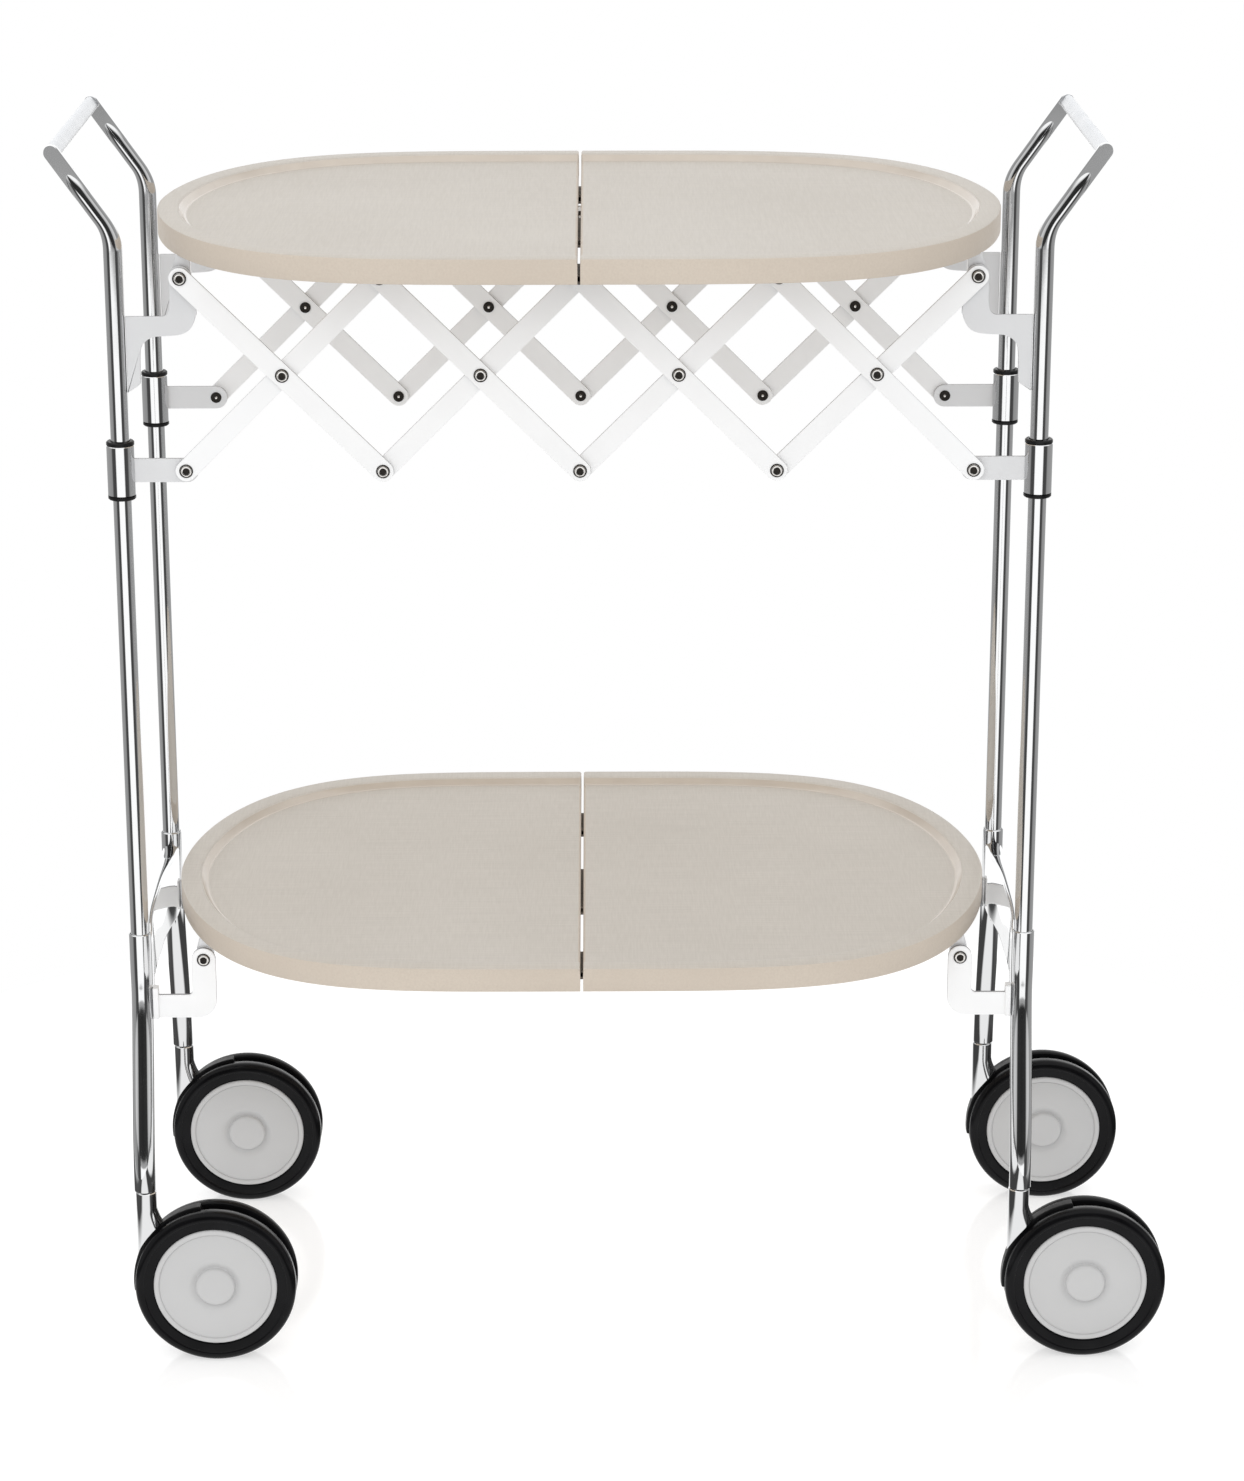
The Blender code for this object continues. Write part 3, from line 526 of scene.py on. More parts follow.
def add_math(nodes, links, operation, first, second=None):
    """Add a sum of one output, or of one with a number or another output, and return its value."""
    made = nodes.new("ShaderNodeMath")
    made.operation = operation
    links.new(first, made.inputs[0])
    if isinstance(second, (int, float)):
        made.inputs[1].default_value = second
    elif second is not None:
        links.new(second, made.inputs[1])
    return made.outputs["Value"]


def add_ramp(nodes, links, source, stops):
    """Add a ramp of greys with stops (position, level), and return its colour."""
    made = nodes.new("ShaderNodeValToRGB")
    while len(made.color_ramp.elements) < len(stops):
        made.color_ramp.elements.new(0.5)
    for element, (position, level) in zip(made.color_ramp.elements, stops):
        element.position = position
        element.color = (level, level, level, 1)
    links.new(source, made.inputs["Fac"])
    return made.outputs["Color"]


class Finish:
    """A procedural material that is drawn on object coordinates."""

    def __init__(self, name, tint, roughness, metallic=0.0):
        self.material = bpy.data.materials.new(name)
        self.material.use_nodes = True
        self.nodes = self.material.node_tree.nodes
        self.links = self.material.node_tree.links
        self.shader = self.nodes["Principled BSDF"]
        self.shader.inputs["Base Color"].default_value = (*tint, 1.0)
        self.shader.inputs["Roughness"].default_value = roughness
        self.shader.inputs["Metallic"].default_value = metallic
        self.place = self.nodes.new("ShaderNodeTexCoord").outputs["Object"]

    def set(self, socket, value):
        self.shader.inputs[socket].default_value = value

    def grain(self, scale, detail=3, run=(1, 1, 1)):
        """Return noise of a scale per metre, drawn out along an axis where its run is small."""
        mapping = self.nodes.new("ShaderNodeMapping")
        mapping.inputs["Scale"].default_value = run
        noise = self.nodes.new("ShaderNodeTexNoise")
        noise.inputs["Scale"].default_value = scale
        noise.inputs["Detail"].default_value = detail
        self.links.new(self.place, mapping.inputs["Vector"])
        self.links.new(mapping.outputs["Vector"], noise.inputs["Vector"])
        return noise.outputs["Fac"]

    def between(self, source, low, high, start=0.3, end=0.7):
        """Return a pattern mapped to a range of values."""
        mapped = self.nodes.new("ShaderNodeMapRange")
        for socket, value in (("From Min", start), ("From Max", end), ("To Min", low), ("To Max", high)):
            mapped.inputs[socket].default_value = value
        self.links.new(source, mapped.inputs["Value"])
        return mapped.outputs["Result"]

    def combined(self, first, second, operation="ADD"):
        """Return two patterns put together."""
        return add_math(self.nodes, self.links, operation, first, second)

    def tinted(self, source, first, second, start=0.3, end=0.7):
        """Colour the surface from one colour to another by a pattern."""
        ramp = self.nodes.new("ShaderNodeValToRGB")
        ramp.color_ramp.elements[0].position = start
        ramp.color_ramp.elements[0].color = (*first, 1.0)
        ramp.color_ramp.elements[1].position = end
        ramp.color_ramp.elements[1].color = (*second, 1.0)
        self.links.new(source, ramp.inputs["Fac"])
        self.links.new(ramp.outputs["Color"], self.shader.inputs["Base Color"])

    def rough(self, source, low, high):
        """Let the roughness follow a pattern."""
        self.links.new(self.between(source, low, high), self.shader.inputs["Roughness"])

    def bumped(self, source, strength, distance):
        """Raise the surface by a pattern."""
        bump = self.nodes.new("ShaderNodeBump")
        bump.inputs["Strength"].default_value = strength
        bump.inputs["Distance"].default_value = distance
        self.links.new(source, bump.inputs["Height"])
        self.links.new(bump.outputs["Normal"], self.shader.inputs["Normal"])


# Rows of the plainer finishes. rough is (scale, detail, low, high). tint is (scale, detail, darker
# share, lighter share), with the pattern's start and end where they aren't the usual ones. light names
# the colour of the lighter end where it has its own. bump is (scale, detail, strength, distance).
FINISH_ROWS = {
    "chrome": dict(metallic=1.0, rough=(38, 5, 0.025, 0.085), bump=(420, 2, 0.015, 0.0001)),
    "plate": dict(metallic=0.35, rough=(70, 4, 0.30, 0.38), tint=(25, 4, 0.97, 1),
                  bump=(500, 3, 0.04, 0.0001)),
    "link": dict(metallic=0.10, rough=(80, 4, 0.32, 0.44), tint=(30, 5, 0.975, 1),
                 bump=(600, 3, 0.04, 0.0001)),
    # Painted shade on the plates' narrow sides: a dark outline.
    "plate_edge": dict(metallic=0.5, roughness=0.45, tint=(300, 3, 1, 1.4), bump=(900, 3, 0.1, 0.0001)),
    "bar": dict(metallic=0.15, rough=(60, 4, 0.22, 0.34), bump=(24, 3, 0.01, 0.0001)),
    "rivet": dict(metallic=1.0, rough=(500, 3, 0.14, 0.30), bump=(1500, 3, 0.1, 0.0001)),
    # Painted shade for the rivets' edges and bores, and the dark colour of the inner heads.
    "rivet_edge": dict(specular=0.15, rough=(600, 3, 0.35, 0.6), tint=(900, 3, 1, 1.8)),
    "slope": dict(base="shell", light="shell_light", specular=1.0, rough=(200, 3, 0.10, 0.16),
                  tint=(60, 5, 1, 1), bump=(300, 2, 0.01, 0.0001)),
    "black": dict(specular=0.25, rough=(120, 4, 0.26, 0.48), tint=(60, 5, 1, 1.9),
                  bump=(1600, 3, 0.12, 0.0002)),
    "tyre": dict(specular=0.14, rough=(45, 6, 0.12, 0.28), tint=(30, 6, 1, 2, 0.4, 0.75),
                 bump=(1100, 3, 0.06, 0.0002)),
    "disc": dict(specular=0.35, rough=(90, 4, 0.36, 0.50), tint=(14, 6, 0.965, 1.03),
                 bump=(1500, 2, 0.10, 0.0002)),
    # Painted shade: the hinge knuckles darkened as if in the slot's shadow.
    "hinge": dict(light="hinge_light", metallic=0.2, roughness=0.5, tint=(400, 3, 1, 1),
                  bump=(900, 3, 0.15, 0.0002)),
}


def row_finish(name, colours):
    """Make a finish from its row."""
    row = FINISH_ROWS[name]
    base = getattr(colours, row.get("base", name))
    made = Finish("trolley " + name, base, row.get("roughness", 0.5), row.get("metallic", 0.0))
    if "specular" in row:
        made.set("Specular IOR Level", row["specular"])
    if "rough" in row:
        scale, detail, low, high = row["rough"]
        made.rough(made.grain(scale, detail), low, high)
    if "tint" in row:
        scale, detail, darker, lighter, *span = row["tint"]
        light = getattr(colours, row["light"]) if "light" in row else base
        made.tinted(made.grain(scale, detail), [c * darker for c in base],
                    [c * lighter for c in light], *span)
    if "bump" in row:
        scale, detail, strength, distance = row["bump"]
        made.bumped(made.grain(scale, detail), strength, distance)
    return made


def shell_finish(colours):
    """Moulded beige plastic with a fine satin skin."""
    made = Finish("trolley shell", colours.shell, 0.5)
    made.tinted(made.combined(made.grain(9, 6), made.grain(700, 2), "MULTIPLY"),
                colours.shell, colours.shell_light, 0.12, 0.40)
    made.rough(made.grain(300), 0.42, 0.58)
    made.bumped(made.grain(1300, 2), 0.10, 0.0003)
    made.set("Specular IOR Level", 0.35)
    return made


def weave_finish(colours):
    """Fine linen weave under a satin skin: long threads along and across the tray, in a tone greyer than
    the shell that is painted reflection.
    """
    made = Finish("trolley weave", colours.weave, 0.45)
    along = made.grain(760, 2, (0.02, 1, 1))
    across = made.grain(900, 2, (1, 0.06, 1))
    threads = made.combined(made.between(along, 0, 0.62), made.between(across, 0, 0.38))
    cloud = made.between(made.grain(6, 5), -0.18, 0.18)
    made.tinted(made.combined(threads, cloud), colours.weave, colours.weave_light, 0.1, 0.9)
    made.rough(along, 0.38, 0.55)
    made.bumped(threads, 0.12, 0.0003)
    made.set("Specular IOR Level", 0.4)
    return made


def finish(name):
    """Return one of the trolley's finishes, made when it is first asked for."""
    known = bpy.data.materials.get("trolley " + name)
    if known:
        return known
    colours = bpy.context.scene.trolley_colours
    if name == "shell":
        return shell_finish(colours).material
    if name == "weave":
        return weave_finish(colours).material
    return row_finish(name, colours).material


# Side frames

def handle_place(sizes, along):
    """Return the left tube's (x, z) place past the start of its bend, and its lean."""
    start = sizes.pivot_height + sizes.bend_rise
    bent = sizes.bend_radius * sizes.bend_angle
    lean = min(along / sizes.bend_radius, sizes.bend_angle)
    straight = max(0, along - bent)
    out = sizes.bend_radius * (1 - math.cos(lean)) + straight * math.sin(lean)
    up = sizes.bend_radius * math.sin(lean) + straight * math.cos(lean)
    return SLOT_X - sizes.half_span - sizes.tube_offset - out, start + up, lean


def tube_station(sizes, y, along, share):
    """Return a sweep station of the left tube, where its section is a share of the full one."""
    x, z, lean = handle_place(sizes, along)
    narrow = smooth_step(along / (sizes.bend_radius * sizes.bend_angle))
    wide = sizes.tube_radius + (sizes.tongue_half_width - sizes.tube_radius) * narrow
    return Vector((x, y, z)), wide * share, sizes.tube_radius * share, -lean


class TROLLEY_OT_tubes(bpy.types.Operator):
    """Build the four bright tubes, bent outwards and pressed flat at their ends"""
    bl_idname = "trolley.tubes"
    bl_label = "Side tubes"

    def tongue(self, sizes, y, flat_start, total):
        """Model the flattened end that the tube's round nose runs out on."""
        reach = sizes.tongue_half_width
        places = [(flat_start + (total - reach - flat_start) * step / 6, 1) for step in range(7)]
        places += [(total - reach + reach * math.sin(math.radians(a)), math.cos(math.radians(a)))
                   for a in range(8, 89, 8)]
        stations = []
        for along, share in places:
            centre, wide, deep, lean = tube_station(sizes, y, along, 1)
            stations.append((centre, wide * share, deep, lean))
        centre, wide, deep, lean = stations[0]
        piece = start_disc("tongue", centre, wide, sizes.steps)
        stretch((1, deep / wide, 1), centre)
        turn(lean, "Y", centre)
        flat = (y - sizes.tongue_half_thickness, y + sizes.tongue_half_thickness)
        press(piece, *flat)
        sweep(stations)
        return close(piece, finish("chrome"), 24)

    def execute(self, context):
        sizes = context.scene.trolley_sizes
        y = -sizes.half_depth
        x = SLOT_X - sizes.half_span - sizes.tube_offset
        radius = sizes.tube_radius
        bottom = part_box("front_tube_left")[0].z
        piece = start_disc("fine_front_tube_left", (x, y, bottom), radius, sizes.steps)
        bent = sizes.bend_radius * sizes.bend_angle
        total = bent + sizes.handle_length
        flat_start = total - sizes.tongue_length
        nose = sizes.tongue_length / 2
        places = [(bent * step / 10, 1) for step in range(11)] + [(flat_start, 1)]
        places += [(flat_start + nose * math.sin(math.radians(a)), math.cos(math.radians(a)))
                   for a in (8, 16, 24, 32, 40, 48, 56, 64, 70, 76, 82, 86)]
        stations = [(Vector((x, y, bottom)), radius, radius, 0)]
        stations += [tube_station(sizes, y, along, share) for along, share in places]
        sweep(stations)
        close(piece, finish("chrome"), 24)
        tongue = self.tongue(sizes, y, flat_start, total)
        piece = join([piece, tongue])
        four_ways(piece, "{depth}_tube_{side}")
        return {"FINISHED"}


class TROLLEY_OT_handle_bars(bpy.types.Operator):
    """Build the pale bars between the tongues"""
    bl_idname = "trolley.handle_bars"
    bl_label = "Handle bars"

    def execute(self, context):
        sizes = context.scene.trolley_sizes
        total = sizes.bend_radius * sizes.bend_angle + sizes.handle_length
        x, z, lean = handle_place(sizes, total - sizes.bar_width / 2 - sizes.gap)
        reach = sizes.half_depth - sizes.tongue_half_thickness - sizes.gap
        centre = Vector((x, 0, z))
        piece = start_block("fine_handle_bar_left", centre,
                            (sizes.bar_thickness, 2 * reach, sizes.bar_width))
        choose_edges(piece, lambda a, b: abs(a.y - b.y) > reach)
        bpy.ops.mesh.bevel(offset=sizes.bar_round, segments=7, affect="EDGES")
        bpy.ops.mesh.select_all(action="SELECT")
        turn(-lean, "Y", centre)
        soften(piece, 0.0004, 2, 60)
        close(piece, finish("bar"))
        other = mirrored(piece, "fine_handle_bar_right", (-1, 1, 1))
        dress(piece, "handle_bar_left")
        dress(other, "handle_bar_right")
        return {"FINISHED"}


def leg_part(sizes, name):
    """Model the front left leg with the socket that holds its tube."""
    x = SLOT_X - sizes.half_span - sizes.tube_offset
    y = -sizes.half_depth
    top = sizes.socket_top
    outer = sizes.socket_radius
    bore = sizes.tube_radius + sizes.gap
    start = top - SOCKET_DEPTH
    piece = start_disc(name, (x, y, start), bore, sizes.steps)
    blend_start = top - SOCKET_LENGTH
    rings = [(start, bore), (top - 0.0003, bore), (top, bore + 0.0003), (top, outer - 0.0005),
             (top - 0.0005, outer), (blend_start, outer)]
    stations = [(Vector((x, y, z)), radius, radius, 0) for z, radius in rings]
    foot = sizes.leg_foot
    steps = 40
    for step in range(1, steps + 1):
        z = blend_start + (foot + FOOT_ROUND_HEIGHT - blend_start) * step / steps
        joined = smooth_step((blend_start - z) / SOCKET_BLEND)
        share = (blend_start - z) / (blend_start - foot)
        wide = outer + (sizes.leg_half_width - outer) * joined
        leg_deep = sizes.leg_half_depth + (sizes.foot_half_depth - sizes.leg_half_depth) * share
        deep = outer + (leg_deep - outer) * joined
        y_here = y - sizes.leg_splay * smooth_step((SPLAY_TOP - z) / (SPLAY_TOP - foot))
        stations.append((Vector((x, y_here, z)), wide, deep, 0))
    last, wide, deep, _ = stations[-1]
    stations.append((Vector((x, last.y, foot)), wide - FOOT_ROUND, deep - FOOT_ROUND, 0))
    sweep(stations)
    return close(piece, finish("chrome"))


def crossbar_part(sizes, name):
    """Model the bar between the left legs, bowed outwards past the tray's end."""
    x = SLOT_X - sizes.half_span - sizes.tube_offset
    half, corner = CROSSBAR_HALF, CROSSBAR_ROUND
    high, low = CROSSBAR_HIGH - corner, CROSSBAR_LOW + corner
    outline = []
    for cx, cz, start in ((half - corner, high, 0), (corner - half, high, 90),
                          (corner - half, low, 180), (half - corner, low, 270)):
        outline += arc((x + cx, cz), corner, start, start + 90, 5)
    y = -sizes.half_depth
    piece = start_line(name, [Vector((px, y, pz)) for px, pz in outline])
    bpy.ops.mesh.edge_face_add()
    steps = 36
    was, half_was = 0, half
    for step in range(1, steps + 1):
        share = 2 * step / steps - 1
        bow = smooth_step(1 - (share / CROSSBAR_BOW_SHARE) ** 2)
        half_now = half + (CROSSBAR_MIDDLE_HALF - half) * bow
        out = -CROSSBAR_BOW * bow
        carry((out - was, 2 * sizes.half_depth / steps, 0))
        stretch((half_now / half_was, 1, 1), (x + out, 0, 0))
        was, half_was = out, half_now
    return close(piece, finish("chrome"))


class TROLLEY_OT_leg_castings(bpy.types.Operator):
    """Build the polished castings of two splayed legs and a crossbar"""
    bl_idname = "trolley.leg_castings"
    bl_label = "Leg castings"

    def execute(self, context):
        sizes = context.scene.trolley_sizes
        leg = leg_part(sizes, "fine_leg_casting_left")
        rear = mirrored(leg, "rear_leg", (1, -1, 1))
        piece = join([leg, rear, crossbar_part(sizes, "crossbar")])
        other = mirrored(piece, "fine_leg_casting_right", (-1, 1, 1))
        dress(piece, "leg_casting_left")
        dress(other, "leg_casting_right")
        return {"FINISHED"}


# Rivets, brackets and sleeves

def turned_part(name, profile, place, axis, steps, material, closed=False):
    """Model a small turned part."""
    return close(start_turned(name, profile, place, axis, steps, closed), finish(material), 50)


def outer_head(sizes, x, z, y):
    """Model a rivet's outer head on a front face: a rolled ring, with painted shade round its edge and in
    its bore.
    """
    edge = sizes.rivet_radius
    high = sizes.rivet_height
    bore = 0.0022
    ring = [(bore, high * 0.35), (bore, high * 0.85), (0.0025, high), (0.0031, high * 1.08),
            (0.0036, high), (edge - 0.0007, high * 0.72), (edge - 0.0007, -HEAD_SINK), (bore, -HEAD_SINK)]
    # The dark part under the ring is painted shade: it shows round the head's edge and in its bore.
    dark = [(0, -0.0003), (edge, -0.0003), (edge, high * 0.55), (edge - 0.00015, high * 0.65),
            (edge - 0.0008, high * 0.65), (edge - 0.0009, high * 0.4), (0, high * 0.4)]
    rolled = turned_part("head", ring, (x, y, z), -Y_AXIS, 32, "rivet", closed=True)
    return [rolled, turned_part("head_edge", dark, (x, y, z), -Y_AXIS, 32, "rivet_edge")]


def inner_head(sizes, x, z, y):
    """Model a rivet's flat inner head on a rear face, dark with a lighter middle."""
    edge = sizes.inner_rivet_radius - 0.0004
    high = sizes.rivet_height
    back = [(0, -HEAD_SINK), (edge, -HEAD_SINK), (edge, high * 0.7), (edge - 0.0004, high),
            (0.0018, high), (0.0015, high * 0.7), (0, high * 0.7)]
    nub = [(0, 0), (0.0010, 0), (0.0010, high * 0.9), (0.0007, high * 1.1), (0, high * 1.1)]
    disc = turned_part("inner_head", back, (x, y, z), Y_AXIS, 32, "rivet_edge")
    return [disc, turned_part("inner_head_nub", nub, (x, y, z), Y_AXIS, 24, "rivet")]


def shank(x, z, y_start, y_end, radius):
    """Model the plain pin of a rivet."""
    line = [(0, 0), (radius, 0), (radius, y_end - y_start), (0, y_end - y_start)]
    return turned_part("shank", line, (x, y_start, z), Y_AXIS, 24, "rivet")


def layer(sizes, index):
    """Return the y of a lattice layer's inner face at the front. The arms are layer 0."""
    return -(sizes.half_depth + sizes.arm_setback + index * (sizes.link_thickness + sizes.gap))


def lug_depth(sizes):
    """Return how far from the middle a tray lug's inner face lies."""
    return sizes.half_depth + sizes.arm_setback - sizes.gap - LUG_WIDTH


def finished_plate(piece, name, width):
    """Round a plate's edges, and finish its faces and its narrow sides."""
    soften(piece, width, 2, 40)
    tint_edges(piece, name)
    return close(piece, finish(name), 14)


# Outlines of the upper brackets in shares: across from tube to pivot, and up from pivot to lower end
UPPER_SIDE = ((1.23, -0.285), (1.216, -0.34), (1.18, -0.4), (1.12, -0.452), (1.03, -0.486),
              (0.92, -0.502), (0.75, -0.509), (0.6, -0.514), (0.505, -0.533), (0.437, -0.56), (0.388, -0.6),
              (0.366, -0.65), (0.358, -0.75), (0.352, -0.9), (0.335, -0.93), (0.25, -0.965), (0.1535, -1.0))
UPPER_FILLET = ((0.62, -0.3368), (0.742, -0.333), (0.805, -0.29), (0.825, -0.2), (0.8256, 0.0))


def upper_bracket(sizes, side, link_layer):
    """Model a front upper bracket: the S-shaped plate, its pin and the rivet head on it."""
    edge = sizes.tube_radius + sizes.gap
    pivot = sizes.pivot_height
    tube = SLOT_X + side * (sizes.half_span + sizes.tube_offset)
    offset = sizes.tube_offset
    line = [(edge, pivot - BRACKET_DROP), (edge, pivot - BRACKET_SHOULDER)]
    line += [(u * offset, pivot + z * BRACKET_DROP) for u, z in flowing(UPPER_FILLET)][:-1]
    line += arc((offset, pivot), EYE_RADIUS, 180, 0, 20)
    line += [(u * offset, pivot + z * BRACKET_DROP) for u, z in flowing(((1.1744, 0.0),) + UPPER_SIDE)][1:]
    y = layer(sizes, 0)
    name = "fine_front_upper_bracket_" + ("left" if side < 0 else "right")
    piece = start_plate(name, [(tube - side * u, z) for u, z in line], y, y - sizes.link_thickness)
    finished_plate(piece, "plate", sizes.link_edge)
    pin = tube - side * offset
    face = layer(sizes, link_layer) - sizes.link_thickness
    inner = sizes.gap - lug_depth(sizes)
    parts = [piece, shank(pin, pivot, face - sizes.gap, inner, PIN_RADIUS)]
    parts += outer_head(sizes, pin, pivot, face - sizes.gap)
    parts += inner_head(sizes, pin, pivot, inner)
    return join(parts)


class TROLLEY_OT_upper_brackets(bpy.types.Operator):
    """Build the S-shaped plates that carry the upper tray and the lattices"""
    bl_idname = "trolley.upper_brackets"
    bl_label = "Upper brackets"

    def execute(self, context):
        sizes = context.scene.trolley_sizes
        for side, link_layer, near, far in ((-1, 2, "left", "right"), (1, 1, "right", "left")):
            piece = upper_bracket(sizes, side, link_layer)
            other = turned_round(piece, "fine_rear_upper_bracket_" + far)
            dress(piece, "front_upper_bracket_" + near)
            dress(other, "rear_upper_bracket_" + far)
        return {"FINISHED"}


class TROLLEY_OT_lower_brackets(bpy.types.Operator):
    """Build the L-shaped brackets that carry the lower tray"""
    bl_idname = "trolley.lower_brackets"
    bl_label = "Lower brackets"

    def execute(self, context):
        sizes = context.scene.trolley_sizes
        pin_z = sizes.lower_pivot_height
        top = pin_z - LOWER_ARM_DROP
        bottom = top - LOWER_ARM_HEIGHT
        left = sizes.tube_offset - LOWER_EYE_RADIUS
        right = sizes.tube_offset + LOWER_EYE_RADIUS
        near = sizes.leg_half_width + sizes.gap
        inner_round, corner = LOWER_INNER_ROUND, LOWER_CORNER_ROUND
        outline = [(near + 0.002, bottom), (near + 0.002, top)]
        outline += arc((left - inner_round, top + inner_round), inner_round, -90, 0, 6)
        outline += arc((sizes.tube_offset, pin_z), LOWER_EYE_RADIUS, 180, 0, 20)
        outline += arc((right - corner, bottom + corner), corner, 0, -90, 14)
        tube = SLOT_X - sizes.half_span - sizes.tube_offset
        y = layer(sizes, 0)
        back = y - LOWER_THICKNESS
        piece = start_plate("fine_front_lower_bracket_left", [(tube + u, z) for u, z in outline], y, back)
        finished_plate(piece, "link", PLATE_ROUND)
        middle = Vector((tube + near + FLANGE_SIZE.x / 2, y - LOWER_THICKNESS / 2,
                         bottom - sizes.gap + FLANGE_SIZE.z / 2))
        flange = start_block("flange", middle, FLANGE_SIZE)
        soften(flange, 0.0006, 2, 40)
        close(flange, finish("link"), 14)
        pin = tube + sizes.tube_offset
        inner = sizes.gap - lug_depth(sizes)
        parts = [piece, flange, shank(pin, pin_z, back, inner, PIN_RADIUS)]
        parts += outer_head(sizes, pin, pin_z, back)
        parts += inner_head(sizes, pin, pin_z, inner)
        four_ways(join(parts), "{depth}_lower_bracket_{side}")
        return {"FINISHED"}


class TROLLEY_OT_sleeves(bpy.types.Operator):
    """Build the sliding sleeves with their arms, and the black bushes in them"""
    bl_idname = "trolley.sleeves"
    bl_label = "Sliding sleeves"

    def execute(self, context):
        sizes = context.scene.trolley_sizes
        centre = Vector((SLOT_X - sizes.half_span - sizes.tube_offset, -sizes.half_depth,
                         sizes.pivot_height - sizes.lattice_drop))
        half = sizes.sleeve_half_length
        radius = sizes.sleeve_radius
        bore = sizes.tube_radius + 2 * sizes.gap + BUSH_WALL
        line = [(bore, -half), (radius - SLEEVE_ROUND, -half), (radius, -half + SLEEVE_ROUND),
                (radius, half - SLEEVE_ROUND), (radius - SLEEVE_ROUND, half), (bore, half)]
        body = close(start_turned("fine_front_sleeve_left", line, centre, Z_AXIS, sizes.steps, closed=True),
                     finish("chrome"))
        y = layer(sizes, 0)
        pin = centre.x + sizes.tube_offset
        outline = [(centre.x + ARM_START, centre.z + ARM_HALF_HEIGHT),
                   (centre.x + ARM_START, centre.z - ARM_HALF_HEIGHT)]
        outline += arc((pin, centre.z), ARM_HALF_HEIGHT, -90, 90, 20)
        arm = start_plate("arm", outline, y, y - sizes.link_thickness)
        finished_plate(arm, "plate", sizes.link_edge)
        piece = join([body, arm] + inner_head(sizes, pin, centre.z, y))
        four_ways(piece, "{depth}_sleeve_{side}")
        low = half + sizes.gap
        top = low + COLLAR_HEIGHT
        out = radius - sizes.gap
        inner = sizes.tube_radius + sizes.gap
        wall = inner + BUSH_WALL
        line = [(inner, -top), (out - COLLAR_ROUND, -top), (out, -top + COLLAR_ROUND), (out, -low),
                (wall, -low), (wall, low), (out, low), (out, top - COLLAR_ROUND), (out - COLLAR_ROUND, top),
                (inner, top)]
        bush = close(start_turned("fine_front_bush_left", line, centre, Z_AXIS, sizes.steps, closed=True),
                     finish("black"), 40)
        four_ways(bush, "{depth}_bush_{side}")
        return {"FINISHED"}


# Lattice

def link_pivots(bay, rising):
    """Return each pivot of a link as its share along the link and what happens there."""
    found = [(0.5, "joined")]
    for share in (0, 1):
        column = bay + share
        upper = rising == bool(share)
        if column == BAYS / 2:
            found.append((share, "centre"))
        elif column in (0, BAYS):
            found.append((share, "pinned" if upper else "arm"))
        else:
            found.append((share, "joined"))
    return found


def front_link(sizes, bay, rising):
    """Model a front link: a flat bar with round ends, and the rivets that it carries."""
    pitch = 2 * sizes.half_span / BAYS
    x = SLOT_X - sizes.half_span + bay * pitch
    low, high = sizes.pivot_height - sizes.lattice_drop, sizes.pivot_height
    start = Vector((x, low if rising else high))
    end = Vector((x + pitch, high if rising else low))
    lean = math.degrees(math.atan2(end.y - start.y, end.x - start.x))
    outline = arc(start, sizes.link_width / 2, lean + 90, lean + 270, 18)
    outline += arc(end, sizes.link_width / 2, lean - 90, lean + 90, 18)
    level = 1 if rising else 2
    inner = layer(sizes, level)
    outer = inner - sizes.link_thickness
    slope = "rising" if rising else "falling"
    bar = start_plate(f"fine_front_link_{bay + 1}_{slope}", outline, inner, outer)
    parts = [finished_plate(bar, "link", sizes.link_edge)]
    behind = layer(sizes, 1) + sizes.gap
    for share, kind in link_pivots(bay, rising):
        spot = start.lerp(end, share)
        if kind == "arm" or (kind in ("joined", "centre") and level == 2):
            parts += outer_head(sizes, spot.x, spot.y, outer)
        if kind == "joined" and level == 2:
            parts.append(shank(spot.x, spot.y, outer, behind, SHANK_RADIUS))
            parts += inner_head(sizes, spot.x, spot.y, behind)
        if kind == "arm" and level == 2:
            parts.append(shank(spot.x, spot.y, outer, layer(sizes, 1), sizes.inner_rivet_radius))
        if kind == "centre" and level == 1:
            parts += inner_head(sizes, spot.x, spot.y, inner)
    return join(parts)


class TROLLEY_OT_lattices(bpy.types.Operator):
    """Build the satin links of both scissor lattices with their rivets"""
    bl_idname = "trolley.lattices"
    bl_label = "Scissor lattices"

    def execute(self, context):
        sizes = context.scene.trolley_sizes
        for bay in range(BAYS):
            for rising in (False, True):
                slope, other_slope = ("rising", "falling") if rising else ("falling", "rising")
                link = front_link(sizes, bay, rising)
                rear = f"rear_link_{BAYS - bay}_{other_slope}"
                other = turned_round(link, "fine_" + rear)
                dress(link, f"front_link_{bay + 1}_{slope}")
                dress(other, rear)
        return {"FINISHED"}


# Trays

TRAY_END_SHARES = (4.4, 1.8)


def tray_outline(sizes, z, count=240):
    """Return the tray's whole outline round the slot, fuller at its ends than an ellipse."""
    line = []
    for step in range(count):
        t = math.tau * (step + 0.5) / count
        c, s = math.cos(t), math.sin(t)
        along = math.copysign(abs(c) ** (2 / TRAY_END_SHARES[0]), c)
        aside = math.copysign(abs(s) ** (2 / TRAY_END_SHARES[1]), s)
        line.append(Vector((SLOT_X + along * sizes.tray_half_length, aside * sizes.tray_half_depth, z)))
    return line


